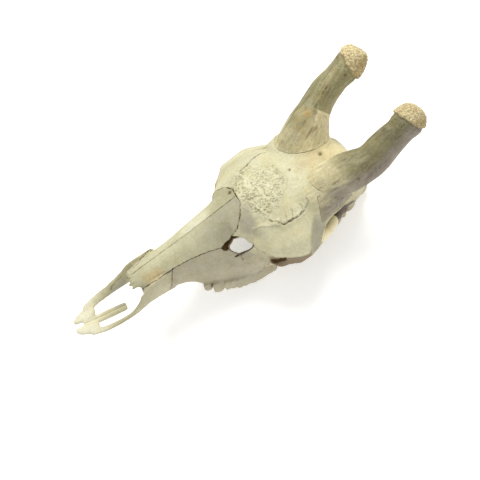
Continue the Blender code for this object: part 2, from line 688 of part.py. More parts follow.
def grown(region):
    """A copy of region with every side moved out by the width of a suture."""
    copy = region.copy()
    copy.data = region.data.copy()
    bpy.context.scene.collection.objects.link(copy)
    bm = bmesh.new()
    bm.from_mesh(copy.data)
    bm.normal_update()
    moves = [(vert, vert.normal * vert.calc_shell_factor() * SUTURE_GAP) for vert in bm.verts]
    for vert, move in moves:
        vert.co += move
    bm.to_mesh(copy.data)
    bm.free()
    return copy


def parted(skull, name, region):
    """Takes what lies inside region off the skull, as a bone of its own."""
    bone = skull.copy()
    bone.data = skull.data.copy()
    bone.name = name
    bpy.context.scene.collection.objects.link(bone)
    around = grown(region)
    cut(bone, [region], "INTERSECT")
    cut(skull, [around])
    removed([region, around])
    return largest_surface_only(bone)


def ossicone_region(side):
    """A bowl sunk into the roof, with a dome over it, a wide tube round the rest of the horn core and, on its
    outer side, a skirt down the flank of the skull."""
    bowl = ellipsoid("bowl", (side * 0.058, 0.541, 0.204), HORN_SEATS[side])
    dome = ellipsoid("dome", (side * 0.067, 0.545, 0.226), (0.056, 0.056, 0.039))
    skirt = prism("skirt", SKIRT_OUTLINE, side * 0.084, side * 0.150)
    lifts = (0.012, 0.008)
    girths = [0.037, 0.043]
    centres = []
    for i, (x, y, z, radius) in enumerate(HORNS[side][2:]):
        if i >= len(lifts):
            girths.append(1.2 * radius + 0.005)
        centres.append((side * x, y, z + (lifts[i] if i < len(lifts) else 0.0)))
    centres.append(4 * Vector(centres[-1]) - 3 * Vector(centres[-2]))
    girths.append(0.040)
    tube = sweep("tube", centres, [(girth, girth) for girth in girths])
    cut(bowl, [dome, tube, skirt], "UNION")
    removed([dome, tube, skirt])
    return bowl


def midline(side):
    """Where the bone of a side starts: the left ones are taken off first, with half of the middle gap."""
    return SUTURE_GAP / 2 if side > 0 else 0.0


def nasal_region(side):
    """The roof of the muzzle out to the naso-maxillary suture, which runs in to the midline behind."""
    rings = []
    for y in steps(0.110, 0.374, 23):
        wide, high = along(NASAL_SUTURE_WIDTH, y), along(NASAL_SUTURE_HEIGHT, y)
        inner = midline(side)
        deep = max(wide - 0.010, 0.4 * wide)
        ring = [(inner, high + 0.09), (side * (wide + 0.026), high + 0.026), (side * deep, high - 0.012),
                (inner, high - 0.022)]
        rings.append([(x, y, z) for x, z in ring])
    return loft("nasal", rings)


def bones_of(skull):
    """The skull parted along its sutures. What stays of it is the cranium."""
    bones = []
    for side, word in ((1, "left"), (-1, "right")):
        bones.append(parted(skull, "ossicone_" + word, ossicone_region(side)))
    for side, word in ((1, "left"), (-1, "right")):
        bones.append(parted(skull, "nasal_" + word, nasal_region(side)))
    for side, word in ((1, "left"), (-1, "right")):
        cheek = prism("zygomatic", CHEEK_OUTLINE, side * CHEEK_INNER, side * 0.160)
        bones.append(parted(skull, "zygomatic_" + word, cheek))
    for side, word in ((1, "left"), (-1, "right")):
        front = prism("premaxilla", PREMAXILLA_OUTLINE, midline(side), side * 0.160)
        bones.append(parted(skull, "premaxilla_" + word, front))
    for side, word in ((1, "left"), (-1, "right")):
        jaw = prism("maxilla", MAXILLA_OUTLINE, midline(side), side * 0.160)
        bones.append(parted(skull, "maxilla_" + word, jaw))
    skull.name = "cranium"
    return bones + [largest_surface_only(skull)]


def rest_angle(bones):
    """The angle about X at which the lowest points of the tooth rows and of the skull base are level."""
    points = [v.co.copy() for bone in bones for v in bone.data.vertices]
    front = [p for p in points if p.y < 0.45]
    rear = [p for p in points if p.y >= 0.45]
    low, high = math.radians(-45), math.radians(45)
    for _ in range(40):
        angle = (low + high) / 2
        turn = Matrix.Rotation(angle, 3, "X")
        if min((turn @ p).z for p in front) > min((turn @ p).z for p in rear):
            low = angle
        else:
            high = angle
    return angle


def laid_down(bones):
    """Turns the bones to where they rest, puts them on the floor and centres them."""
    turn = Matrix.Rotation(rest_angle(bones), 4, "X")
    for bone in bones:
        bone.data.transform(turn)
    points = [v.co for bone in bones for v in bone.data.vertices]
    low = Vector(min(p[k] for p in points) for k in range(3))
    high = Vector(max(p[k] for p in points) for k in range(3))
    shift = Matrix.Translation((-(low.x + high.x) / 2, -(low.y + high.y) / 2, -low.z))
    for bone in bones:
        bone.data.transform(shift)


def bone_material(name, colour, roughness):
    material = bpy.data.materials.new(name)
    material.use_nodes = True
    shader = material.node_tree.nodes["Principled BSDF"]
    shader.inputs["Base Color"].default_value = (*colour, 1.0)
    shader.inputs["Roughness"].default_value = roughness
    shader.inputs["Metallic"].default_value = 0.0
    return material


clear_scene()
bones = bones_of(whole_skull())
laid_down(bones)
for bone in bones:
    kind = bone.name.split("_")[0]
    bone.data.materials.clear()
    bone.data.materials.append(bone_material(bone.name, BONE_COLOURS[kind], BONE_ROUGHNESS))
    for polygon in bone.data.polygons:
        polygon.use_smooth = True
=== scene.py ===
"""The look of the giraffe skull: every bone gets a fine surface, its sutures, pits and stains.

The work is done in the skull's own frame, in millimetres: x to the animal's left, y from the tips of the
premaxillae backwards, z up from the biting faces of the cheek teeth. The model's frame is that one, tipped
nose up to where the skull rests.
"""

import math
from collections import namedtuple
from itertools import product

import bmesh
import bpy
import numpy as np
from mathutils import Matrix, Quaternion, Vector
from mathutils.bvhtree import BVHTree
from mathutils.kdtree import KDTree


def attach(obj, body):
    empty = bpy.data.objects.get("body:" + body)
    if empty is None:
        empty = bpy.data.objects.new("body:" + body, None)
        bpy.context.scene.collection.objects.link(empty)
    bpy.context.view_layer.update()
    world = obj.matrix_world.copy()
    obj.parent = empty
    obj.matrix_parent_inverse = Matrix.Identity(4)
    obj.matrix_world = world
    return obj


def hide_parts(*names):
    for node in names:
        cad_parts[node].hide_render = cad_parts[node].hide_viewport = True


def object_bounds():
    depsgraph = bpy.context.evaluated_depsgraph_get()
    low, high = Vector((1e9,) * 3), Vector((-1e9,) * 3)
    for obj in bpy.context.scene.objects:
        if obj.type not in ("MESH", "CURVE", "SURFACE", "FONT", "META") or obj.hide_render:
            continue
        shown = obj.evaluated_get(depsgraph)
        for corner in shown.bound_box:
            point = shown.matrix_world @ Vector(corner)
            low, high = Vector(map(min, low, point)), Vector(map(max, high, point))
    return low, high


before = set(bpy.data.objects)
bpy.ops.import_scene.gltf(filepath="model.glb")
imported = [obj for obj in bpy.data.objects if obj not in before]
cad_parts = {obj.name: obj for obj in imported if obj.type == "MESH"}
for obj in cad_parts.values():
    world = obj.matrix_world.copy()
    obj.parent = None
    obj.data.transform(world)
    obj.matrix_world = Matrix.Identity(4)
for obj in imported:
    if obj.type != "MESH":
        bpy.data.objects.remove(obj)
cad_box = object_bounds()

# How the skull lies: the tip about X and the shift, in metres, from its own frame to the model's.
REST_TIP = -0.289826
REST_SHIFT = np.array([-0.000126, -0.374165, 0.111802])
COS_TIP, SIN_TIP = math.cos(REST_TIP), math.sin(REST_TIP)
REST_TURN = np.array([[1, 0, 0], [0, COS_TIP, -SIN_TIP], [0, SIN_TIP, COS_TIP]])
MM_PER_M = 1000.0
# How far the fine surfaces stay inside the solids' outer box, in metres.
BOX_MARGIN = 0.00002

# Grid sizes of the fine surfaces, in millimetres.
SKIN_VOXEL = 1.5
BONE_VOXEL = 1.1
HORN_VOXEL = 0.95
# Smoothing: the rounds for the skin, for the filled crease at the horn feet and for each bone, and the share
# of the way that a vertex moves to the middle of its neighbours in one round.
SKIN_ROUNDS = 70
FILLET_ROUNDS = 90
BONE_ROUNDS = 3
NORMAL_ROUNDS = 2
SMOOTH_IN, SMOOTH_OUT = 0.55, -0.57
EASE = 0.5
# How far from the skin a bone's outer surface may lie, and how well the two have to face one way.
SNAP_REACH = 4.0
SNAP_AGREE, SNAP_FADE = 0.2, 0.35
# How far from a suture its wobble reaches, and how much of the gap each bone closes.
SEAM_REACH = 9.0
CLOSING = 0.46
CLOSING_FADE = (1.0, 2.4)
LOOSE_SEAM = 0.6
# The part of the skin that holds the horn feet, and how far from both bones their crease reaches.
FEET_Y = (480, 600)
FEET_Z = 165
CREASE_REACH = 16.0
CREASE_FADE = (4.0, 14.0)
# The rays that find how open each place is, for the painted shade in the hollows: how many, how long, and
# from every how many vertices.
OPEN_RAYS = 20
OPEN_REACH = 70.0
OPEN_EVERY = 9
OPEN_LIFT = 0.8
OPEN_LEAN = 0.3

BONES = {
    "cranium": "cranium_bone", "nasal_left": "nasal_bone", "nasal_right": "nasal_bone",
    "maxilla_left": "maxilla_bone", "maxilla_right": "maxilla_bone",
    "premaxilla_left": "premaxilla_bone", "premaxilla_right": "premaxilla_bone",
    "zygomatic_left": "zygomatic_bone", "zygomatic_right": "zygomatic_bone",
    "ossicone_left": "ossicone_bone", "ossicone_right": "ossicone_bone",
}

CAMERA_PLACE = (0.74288, 0.12409, 1.05841)
CAMERA_TURN = (0.827595, 0.101701, 0.300834, 0.462864)
CAMERA_LENS = 48.249
SENSOR_WIDTH = 36.0
FLOOR_HALF = 6.0
FLOOR_ALBEDO = 0.8
FLOOR_GLOW = 0.46
WORLD_LIGHT = 0.55
LAMP_TARGET = (0, 0, 0.1)

# Where the fine forms lie, in the skull frame. A groove of negative depth is a ridge. Its lips are the height
# of its raised edges, broken says how often it fades, and start is where along it the dark part begins.
Groove = namedtuple("Groove", "half depth lips darkness broken line start", defaults=(0.0,))
Wall = namedtuple("Wall", "half depth line")
Pit = namedtuple("Pit", "spot radius depth darkness")
Lump = namedtuple("Lump", "spot radius rise")
Suture = namedtuple("Suture", "darkness half depth broken")
HornTop = namedtuple("HornTop", "middle way start cap_way cap_start")
HornForms = namedtuple("HornForms", "height knob dark grain coarse beyond")

ROUGH_PATCH = (
    (-46, 383), (-57, 402), (-53, 426), (-38, 447), (-15, 463), (6, 470), (27, 466), (46, 447),
    (60, 427), (68, 407), (58, 390), (33, 379), (7, 370), (-8, 367),
)
GROOVES = {
    "cranium": (
        Groove(1.8, 1.0, 1.8, 0.25, 0.3, ((44, 392, 178), (55, 397, 175), (67, 400, 171), (71, 402, 170))),
        Groove(1.9, 2.4, 2.2, 1.0, 0.4, (
            (71, 402, 170), (78, 408, 167), (86, 418, 165), (91, 423, 163), (93, 432, 164), (93, 441, 165),
            (90, 453, 167), (88, 463, 169), (85, 471, 173), (84, 478, 181))),
        Groove(2.4, -1.3, 0.4, 0.1, 0.3, (
            (68, 370, 156), (72, 379, 160), (76, 389, 164), (82, 402, 164), (86, 413, 164), (90, 423, 164),
        ), 0.5),
        Groove(1.5, 1.5, 1.1, 0.55, 0.3, ((73, 448, 176), (83, 447, 171), (91, 442, 166))),
        Groove(1.4, 1.4, 0.9, 0.4, 0.3, ((78, 423, 170), (88, 421, 165))),
        Groove(1.4, 1.5, 1.0, 0.6, 0.4, ((72, 463, 177), (78, 465, 175), (86, 464, 171), (90, 457, 167))),
        Groove(1.3, 1.2, 0.9, 0.35, 0.3, ((75, 435, 173), (91, 431, 165))),
        Groove(1.4, 1.4, 1.0, 0.6, 0.4, ((74, 478, 187), (81, 478, 183), (85, 477, 180))),
        Groove(2.2, -1.3, 0.3, 0.0, 0.0, (
            (-48, 361, 160), (-46, 374, 169), (-46, 387, 175), (-46, 398, 178))),
        Groove(2.1, 2.2, 1.8, 1.0, 0.45, (
            (-46, 398, 178), (-51, 410, 179), (-53, 419, 180), (-62, 429, 178), (-67, 441, 178),
            (-71, 454, 177), (-65, 466, 181))),
        Groove(1.8, 1.9, 1.3, 0.95, 0.4, ((-94, 456, 165), (-90, 465, 168), (-77, 471, 180))),
        Groove(1.3, 1.4, 0.4, 0.95, 0.2, (
            (-25, 565, 196), (-23, 566, 190), (-21, 567, 185), (-20, 574, 181))),
        Groove(1.0, 0.8, 0.3, 0.7, 0.4, (
            (89, 364, 134), (99, 369, 133), (107, 375, 133), (117, 382, 132), (124, 388, 130))),
    ),
    "maxilla_left": (
        Groove(1.1, 0.8, 0.3, 0.75, 0.4, ((68, 342, 99), (71, 341, 90), (73, 341, 82))),
        Groove(1.0, 0.5, 0.2, 0.4, 0.5, ((73, 341, 82), (75, 345, 79), (79, 355, 77))),
        Groove(1.5, 1.5, 0.4, 1.0, 0.1, ((76, 363, 35), (75, 372, 34))),
        Groove(1.3, 1.1, 0.4, 0.85, 0.3, ((76, 378, 35), (75, 385, 35), (72, 396, 29))),
    ),
    "ossicone_right": (
        Groove(1.1, 0.9, 0.2, 0.75, 0.4, ((-73, 586, 252), (-76, 597, 260), (-80, 609, 267))),
    ),
    "nasal_right": (
        Groove(1.2, 1.0, 0.4, 0.95, 0.3, ((-11, 144, 85), (-15, 156, 89), (-15, 168, 93), (-17, 188, 101))),
    ),
    "premaxilla_right": (
        Groove(1.7, 0.8, 0.3, 0.55, 0.4, ((-36, 88, 21), (-39, 99, 28), (-41, 110, 35), (-40, 124, 44))),
    ),
    "nasal_left": (
        Groove(1.0, 0.7, 0.3, 0.6, 0.6, ((26, 168, 83), (27, 183, 88), (28, 197, 92), (29, 214, 97))),
    ),
}
# The walls that show round the opening in front of the orbit, darkened with painted shade, and the bones that
# they run over.
SHADED_WALLS = (
    Wall(6.4, 2.4, ((54, 319, 116), (50, 326, 118), (48, 334, 122), (48, 343, 128), (54, 345, 133))),
    Wall(2.2, 1.6, ((66, 331, 96), (66, 341, 100), (66, 353, 101), (72, 362, 109), (86, 366, 133))),
)
WALL_BONES = ("cranium", "maxilla_left", "nasal_left")
# The notch under the brow, darkened with painted shade, and how wide it is from its sharp part to its edge.
NOTCH = ((122, 382, 119), (126, 386, 121), (130, 393, 123), (133, 401, 124))
NOTCH_EDGE = (3.2, 5.0)
NOTCH_DEPTH, NOTCH_SHADE_DARKNESS = 2.6, 0.9
# The small pale knob under the left horn core: it rises, and it clears away most of the dark.
NUB = ((90, 515, 112), (102, 504, 112), (109, 492, 107))
NUB_EDGE = (11, 15)
NUB_RISE = 1.8
NUB_CLEAR = 0.85
# The dark bits beside it: painted shade below the overhanging side of the braincase.
DARK_BITS = ((89, 522, 113), (82, 537, 110), (71, 556, 104), (66, 571, 104))
DARK_BITS_EDGE = (6, 11)
# Holes, darkened with painted shade, and spots.
PITS = {
    "cranium": (
        Pit((6, 479, 192), 2.4, 2.0, 1.0), Pit((-1, 544, 189), 3.4, 3.0, 1.0),
        Pit((-16, 369, 174), 3.2, 2.4, 1.0),
    ),
    "nasal_right": (Pit((-16, 367, 173), 3.2, 2.6, 1.0),),
    "ossicone_left": (
        Pit((112, 558, 224), 2.4, 0.4, 0.8), Pit((100, 588, 257), 2.2, 0.4, 0.55),
        Pit((97, 536, 174), 2.2, 0.3, 0.55), Pit((92, 604, 275), 1.6, 0.3, 0.45),
    ),
    "ossicone_right": (Pit((-87, 594, 265), 1.6, 0.3, 0.55),),
    "maxilla_left": (Pit((60, 250, 75), 2.6, 2.2, 0.6),),
    "maxilla_right": (Pit((-60, 250, 75), 2.6, 2.2, 0.6),),
}
# The edge of the brow and the crease behind it, which stay crisp.
BROW_EDGE = (
    (113, 376, 129), (124.5, 386, 130), (132, 402, 128), (138, 414, 126.5), (144, 430, 126),
    (146.5, 446, 127.5), (133, 455, 138.5), (118, 465, 151), (101, 478, 165),
)
BROW_RISE = 1.5
# The tops of the horn cores, left 1 and right -1: the middle of the knob, the way the shaft points there and
# how far past the middle it ends, then the same two values for the slanting edge of the pebbled cap.
HORN_TOPS = {
    1: HornTop((94.4, 659.8, 288.6), (0.01, 0.72, 0.69), 7.0, (-0.21, 0.73, 0.65), 1.5),
    -1: HornTop((-102.1, 665.4, 276.6), (-0.11, 0.66, 0.74), 8.5, (0.22, 0.86, 0.46), -7.0),
}
HORN_FEET = {1: (57, 537, 178), -1: (-57, 542, 184)}
# How much the grain of a shaft is drawn out along it.
GRAIN_STRETCH = 0.88
# The lumps on each horn core.
LUMPS = {
    1: (Lump((83, 613, 280), 5.0, 1.8), Lump((90, 622, 288), 5.0, 1.8), Lump((114, 573, 204), 5.0, 1.8)),
    -1: (Lump((-72, 663, 266), 14.0, 4.0), Lump((-84, 652, 262), 10.0, 2.0)),
}
# The fine rays on the cranium round each horn foot: their middle, their ring and how many there are.
RAY_MIDDLE = (58, 538, 192)
RAY_RING, RAY_WIDTH = 56, 12
RAY_TURNS = 46
# The ragged tips of the nasals.
SPIKE_GRAIN = np.array([1.0, 0.12, 0.5])
SPIKE_LENGTH = 5.5
# How each pair of bones meets.
SUTURES = {
    ("cranium", "nasal"): Suture(1.0, 0.75, 0.8, 0.8),
    ("nasal", "nasal"): Suture(0.55, 0.5, 0.3, 0.65),
    ("maxilla", "nasal"): Suture(0.95, 0.62, 0.6, 0.6),
    ("nasal", "premaxilla"): Suture(0.8, 0.8, 0.6, 0.7),
    ("maxilla", "premaxilla"): Suture(0.6, 0.6, 0.4, 0.6),
    ("cranium", "maxilla"): Suture(0.28, 0.7, 0.3, 0.7),
    ("maxilla", "zygomatic"): Suture(0.35, 0.9, 0.4, 0.5),
    ("cranium", "ossicone"): Suture(0.22, 0.7, 0.12, 1.0),
    ("cranium", "zygomatic"): Suture(0.2, 0.9, 0.3, 0.5),
}

# Tones, linear. A tint lies round a spot: it has a strength, a reach along each axis and the share of that
# reach that its soft edge takes.
Tint = namedtuple("Tint", "strength spot reach edge colour")
BASE_TONES = {
    "cranium": (0.6, 0.575, 0.38), "nasal": (0.58, 0.56, 0.37), "maxilla": (0.46, 0.42, 0.3),
    "premaxilla": (0.54, 0.51, 0.33), "zygomatic": (0.6, 0.52, 0.32), "ossicone": (0.34, 0.31, 0.16),
}
YELLOWED = np.array([0.96, 0.88, 0.66])
GREYED = np.array([0.86, 0.9, 0.96])
CRANIUM_TINTS = (
    Tint(0.5, (40, 455, 190), (46, 46, 30), 0.8, (0.62, 0.6, 0.4)),
    Tint(0.7, (-15, 415, 182), (42, 46, 30), 0.7, (0.68, 0.66, 0.44)),
    Tint(0.7, (0, 545, 190), (60, 60, 40), 0.7, (0.57, 0.48, 0.27)),
    Tint(0.9, (52, 368, 160), (46, 30, 34), 0.75, (0.37, 0.345, 0.26)),
    Tint(0.7, (84, 381, 156), (20, 16, 20), 0.9, (0.42, 0.395, 0.275)),
    Tint(0.6, (112, 425, 150), (20, 40, 22), 0.8, (0.72, 0.68, 0.44)),
    Tint(0.5, (2, 503, 192), (22, 20, 20), 0.9, (0.52, 0.46, 0.28)),
    Tint(0.7, (-95, 398, 156), (24, 32, 26), 0.9, (0.44, 0.42, 0.23)),
    Tint(0.4, (5, 420, 182), (50, 44, 30), 0.8, (0.72, 0.7, 0.5)),
    Tint(0.5, (-95, 420, 160), (44, 60, 40), 0.7, (0.5, 0.48, 0.29)),
)
# Painted shade, darkest at the front corner of the face under each brow.
BROW_CORNER_SHADE = Tint(1.0, (127, 392, 121), (18, 20, 13), 0.8, (0.15, 0.1, 0.05))
NAPE_TINT = Tint(0.8, (-10, 575, 185), (50, 34, 34), 0.6, (0.7, 0.62, 0.36))
MAXILLA_TINTS = (
    Tint(0.5, (60, 300, 85), (40, 56, 30), 0.8, (0.4, 0.37, 0.25)),
    Tint(0.6, (84, 370, 79), (22, 26, 26), 0.9, (0.6, 0.55, 0.38)),
    Tint(0.4, (42, 235, 75), (22, 30, 26), 0.9, (0.56, 0.51, 0.36)),
)
CONTACT_TINT = Tint(0.7, (24, 185, 90), (16, 36, 16), 0.7, (0.58, 0.45, 0.22))
NASAL_RIGHT_TINT = Tint(0.7, (-10, 285, 140), (24, 62, 26), 0.7, (0.72, 0.71, 0.53))
LEFT_HORN_TINTS = (
    Tint(0.6, (100, 618, 284), (26, 26, 22), 0.8, (0.15, 0.135, 0.07)),
    Tint(0.3, (96, 576, 246), (20, 24, 20), 0.8, (0.3, 0.27, 0.17)),
    Tint(0.5, (92, 508, 184), (16, 20, 16), 0.8, (0.34, 0.31, 0.2)),
)
RIGHT_HORN_DULL = Tint(0.4, (-74, 586, 254), (26, 26, 20), 0.8, (0.24, 0.22, 0.1))
RIGHT_HORN_OUTER = Tint(0.6, (-52, 538, 236), (30, 34, 34), 0.8, (0.26, 0.23, 0.11))
RIGHT_HORN_PALE = Tint(0.8, (-21, 526, 202), (20, 24, 16), 0.7, (0.76, 0.69, 0.43))
RIGHT_HORN_STAIN = Tint(0.6, (-46, 545, 232), (26, 30, 30), 0.5, (0.42, 0.29, 0.11))
# The way that the shaded side of the left horn core and of the caps faces: painted grey shade on the core's
# lower flank and painted brown shade on the caps.
SHADY_WAY = np.array([0.77, 0.36, -0.52])
# The way that the right horn core's inner flank faces, and the plane where its dark part begins.
INNER_WAY = np.array([0.8, 0.45, -0.4])
DIM_PLACE = np.array([-54, 584, 228])
DIM_WAY = np.array([-0.25, 0.7, 0.67])
# The way that the facet behind each orbit faces, on the left; facets turned this way get a painted shade.
TEMPLE_WAY = (0.705, 0.644, 0.298)
# How far below the cap the shaft turns pale: where that starts and ends.
PALE_FOOT = {1: (104, 150), -1: (126, 170)}
CAP_TONES = {1: (0.7, 0.6, 0.34), -1: (0.78, 0.67, 0.38)}
# How far out beside the left horn foot its seam turns dull.
FOOT_SIDE = (78, 92)
LOW_BRAINCASE = (0.4, 0.34, 0.24)
BROW_FACE_SHADE = (0.25, 0.19, 0.115)
TEMPLE_SHADE = (0.36, 0.34, 0.245)
BITS_SHADE_BROWN = (0.12, 0.09, 0.08)
NUB_CREAM = (0.95, 0.86, 0.58)
TOOTH_CREAM = (0.52, 0.48, 0.33)
TIP_CREAM = (0.79, 0.77, 0.58)
MUZZLE_DULL = (0.47, 0.44, 0.27)
LEFT_NASAL_REAR_SHADE = (0.38, 0.36, 0.255)
RIGHT_NASAL_REAR = (0.4, 0.38, 0.23)
INNER_FACE_SHADE = (0.33, 0.32, 0.28)
PREMAXILLA_REAR = (0.5, 0.46, 0.33)
HORN_FOOT = (0.62, 0.56, 0.34)
HORN_SEAM = (0.46, 0.42, 0.27)
HORN_OLIVE = (0.225, 0.21, 0.105)
HORN_BROWN = (0.36, 0.27, 0.13)
DARK_OLIVE = (0.175, 0.16, 0.08)
UNDER_LEFT_CAP = (0.17, 0.155, 0.085)
PURPLE_GREY_SHADE = (0.24, 0.205, 0.165)
UNDER_RIGHT_CAP = (0.36, 0.31, 0.2)
PALE_FLANK = (0.64, 0.57, 0.34)
DIM_FLANK = (0.26, 0.235, 0.11)
OUTER_SHAFT = (0.34, 0.31, 0.17)
CAP_SHADE = (0.4, 0.29, 0.12)

# Colours of the material, linear, with alpha.
WARM_MOTTLE = (0.9, 0.84, 0.7, 1)
FINE_MOTTLE = (0.8, 0.72, 0.56, 1)
# Painted shade in the hollows.
HOLLOW_SHADE_BROWN = (0.1, 0.055, 0.022, 1)
# Brown of the sutures, grooves and spots, and painted shade in the walls, the notch and the holes.
GROOVE_AND_SHADE_BROWN = (0.064, 0.029, 0.003, 1)
PEBBLE_GAP = (0.26, 0.17, 0.07, 1)


def to_model(points):
    """Skull frame in millimetres to model frame in metres."""
    return points / MM_PER_M @ REST_TURN.T + REST_SHIFT


def to_skull(points):
    """Model frame in metres to skull frame in millimetres."""
    return (points - REST_SHIFT) @ REST_TURN * MM_PER_M


def kind(name):
    """A bone's name with no side."""
    return name.split("_")[0]


def side_of(name):
    """1 for a bone on the left and -1 for one on the right."""
    return 1 if name.endswith("left") else -1


def mirrored(spots, side):
    """Spots or ways of the left side, on the side asked for."""
    return np.array(spots) * (side, 1, 1)


def unit(way):
    return np.array(way) / np.linalg.norm(way)


def smoothstep(x, low, high):
    """0 below low, 1 above high and a smooth rise between them."""
    t = np.clip((x - low) / (high - low), 0.0, 1.0)
    return t * t * (3 - 2 * t)


def bell(distance, width):
    """1 at no distance, falling off softly over the width."""
    return np.exp(-((distance / width) ** 2))


def lattice(cells, seed):
    """A fixed random number from 0 to 1 for each whole-numbered cell."""
    h = cells[:, 0] * 374761393 + cells[:, 1] * 668265263 + cells[:, 2] * 2147483647 + seed * 1274126177
    h = (h ^ (h >> 13)) * 1274126177
    h = h ^ (h >> 16)
    return (h & 0xFFFFFF).astype(np.float64) / 0xFFFFFF


def value_noise(points, size, seed):
    """Smooth noise from -1 to 1 whose lumps are about size across."""
    p = points / size
    base = np.floor(p).astype(np.int64)
    f = p - base
    f = f * f * f * (f * (f * 6 - 15) + 10)
    total = np.zeros(len(points))
    for corner in product((0, 1), repeat=3):
        a, b, c = np.where(corner, f, 1 - f).T
        total += a * b * c * lattice(base + np.array(corner), seed)
    return 2 * total - 1


def layered_noise(points, size, seed, layers=3):
    """Noise whose layers are each half as large and half as strong as the one before."""
    total = np.zeros(len(points))
    for k in range(layers):
        total += value_noise(points, size / 2**k, seed + 17 * k) / 2**k
    return total / 1.6


def noise_vectors(points, size, seed, layers=2):
    return np.stack([layered_noise(points, size, seed + 101 * k, layers) for k in range(3)], 1)


def cell_pits(points, size, seed):
    """Distance to the nearest of one random point in each cell, over the cell size."""
    p = points / size
    base = np.floor(p).astype(np.int64)
    nearest = np.full(len(points), 9.0)
    for step in product((-1, 0, 1), repeat=3):
        cell = base + np.array(step)
        spot = cell + np.stack([lattice(cell, seed + k) for k in range(3)], 1)
        nearest = np.minimum(nearest, np.linalg.norm(p - spot, axis=1))
    return nearest


def line_distance(points, line):
    """Distance to a polyline, and how far along it the nearest point is, from 0 to 1."""
    line = np.array(line, float)
    lengths = np.linalg.norm(np.diff(line, axis=0), axis=1)
    before = np.concatenate([[0], np.cumsum(lengths)])
    best = np.full(len(points), 1e9)
    place = np.zeros(len(points))
    for k in range(len(line) - 1):
        a, b = line[k], line[k + 1]
        t = np.clip((points - a) @ (b - a) / lengths[k] ** 2, 0, 1)
        d = np.linalg.norm(points - a - t[:, None] * (b - a), axis=1)
        closer = d < best
        best[closer] = d[closer]
        place[closer] = (before[k] + t[closer] * lengths[k]) / before[-1]
    return best, place


def inside_patch(points, outline, edge):
    """1 well inside the outline, as seen from above, and 0 outside it."""
    xy = points[:, :2]
    outline = np.array(outline, float)
    inside = np.zeros(len(xy), bool)
    away = np.full(len(xy), 1e9)
    for a, b in zip(outline, np.roll(outline, -1, axis=0)):
        t = np.clip((xy - a) @ (b - a) / ((b - a) @ (b - a)), 0, 1)
        away = np.minimum(away, np.linalg.norm(xy - a - t[:, None] * (b - a), axis=1))
        crosses = (a[1] > xy[:, 1]) != (b[1] > xy[:, 1])
        rise = np.where(abs(b[1] - a[1]) < 1e-9, 1e-9, b[1] - a[1])
        inside ^= crosses & (xy[:, 0] < a[0] + (xy[:, 1] - a[1]) * (b[0] - a[0]) / rise)
    signed = np.where(inside, away, -away) + 5 * value_noise(points, size=12, seed=21)
    return smoothstep(signed, -edge, edge)


def remeshed(verts, faces, voxel):
    """The voxel surface of a closed mesh, as vertices and four-sided faces."""
    work = bpy.data.meshes.new("work")
    work.from_pydata(verts.tolist(), [], faces)
    obj = bpy.data.objects.new("work", work)
    bpy.context.scene.collection.objects.link(obj)
    modifier = obj.modifiers.new("Remesh", "REMESH")
    modifier.mode = "VOXEL"
    modifier.voxel_size = voxel
    graph = bpy.context.evaluated_depsgraph_get()
    mesh = bpy.data.meshes.new_from_object(obj.evaluated_get(graph))
    new_verts = np.empty(len(mesh.vertices) * 3)
    mesh.vertices.foreach_get("co", new_verts)
    corners = np.empty(len(mesh.loops), np.int32)
    mesh.loops.foreach_get("vertex_index", corners)
    bpy.data.objects.remove(obj)
    bpy.data.meshes.remove(mesh)
    return new_verts.reshape(-1, 3), corners.reshape(-1, 4)


def cad_in_skull_frame(name):
    """A CAD node's welded mesh in the skull frame."""
    bm = bmesh.new()
    bm.from_mesh(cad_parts[name].data)
    bmesh.ops.remove_doubles(bm, verts=bm.verts, dist=1e-6)
    bm.verts.index_update()
    verts = np.array([vert.co for vert in bm.verts])
    faces = [tuple(vert.index for vert in face.verts) for face in bm.faces]
    bm.free()
    return to_skull(verts), faces


def joined(parts):
    """Several meshes as one, and the number of the part that each face comes from."""
    verts, faces, owners, offset = [], [], [], 0
    for number, part_verts, part_faces in parts:
        verts.append(part_verts)
        faces += [tuple(i + offset for i in face) for face in part_faces]
        owners += [number] * len(part_faces)
        offset += len(part_verts)
    return np.concatenate(verts), faces, owners


def edges_of(quads):
    ends = np.concatenate([quads[:, [k, (k + 1) % 4]] for k in range(4)])
    return np.unique(np.sort(ends, axis=1), axis=0)


class Averager:
    """Means over the neighbours of each vertex."""

    def __init__(self, count, edges):
        self.count = count
        self.a, self.b = edges[:, 0], edges[:, 1]
        self.degree = np.bincount(self.a, minlength=count) + np.bincount(self.b, minlength=count)
        self.degree = np.maximum(self.degree, 1)

    def mean(self, values):
        if values.ndim == 1:
            total = np.bincount(self.a, values[self.b], self.count)
            total += np.bincount(self.b, values[self.a], self.count)
            return total / self.degree
        return np.stack([self.mean(values[:, k]) for k in range(values.shape[1])], 1)

    def eased(self, verts, share):
        """Moves each vertex a share of the way to the middle of its neighbours."""
        return verts + share * (self.mean(verts) - verts)


def face_crosses(verts, quads):
    """A vector along each face's normal, as long as twice its area."""
    a, b, c, d = (verts[quads[:, k]] for k in range(4))
    return np.cross(c - a, d - b)


def normalised(vectors):
    """The same vectors with length 1."""
    return vectors / np.maximum(np.linalg.norm(vectors, axis=1), 1e-9)[:, None]


def normals_of(verts, quads):
    """Vertex normals, weighted by area."""
    face = face_crosses(verts, quads)
    total = np.zeros_like(verts)
    for k in range(4):
        for axis in range(3):
            total[:, axis] += np.bincount(quads[:, k], face[:, axis], len(verts))
    return normalised(total)


def tree_of(verts, faces):
    return BVHTree.FromPolygons([tuple(v) for v in verts], [tuple(f) for f in faces])


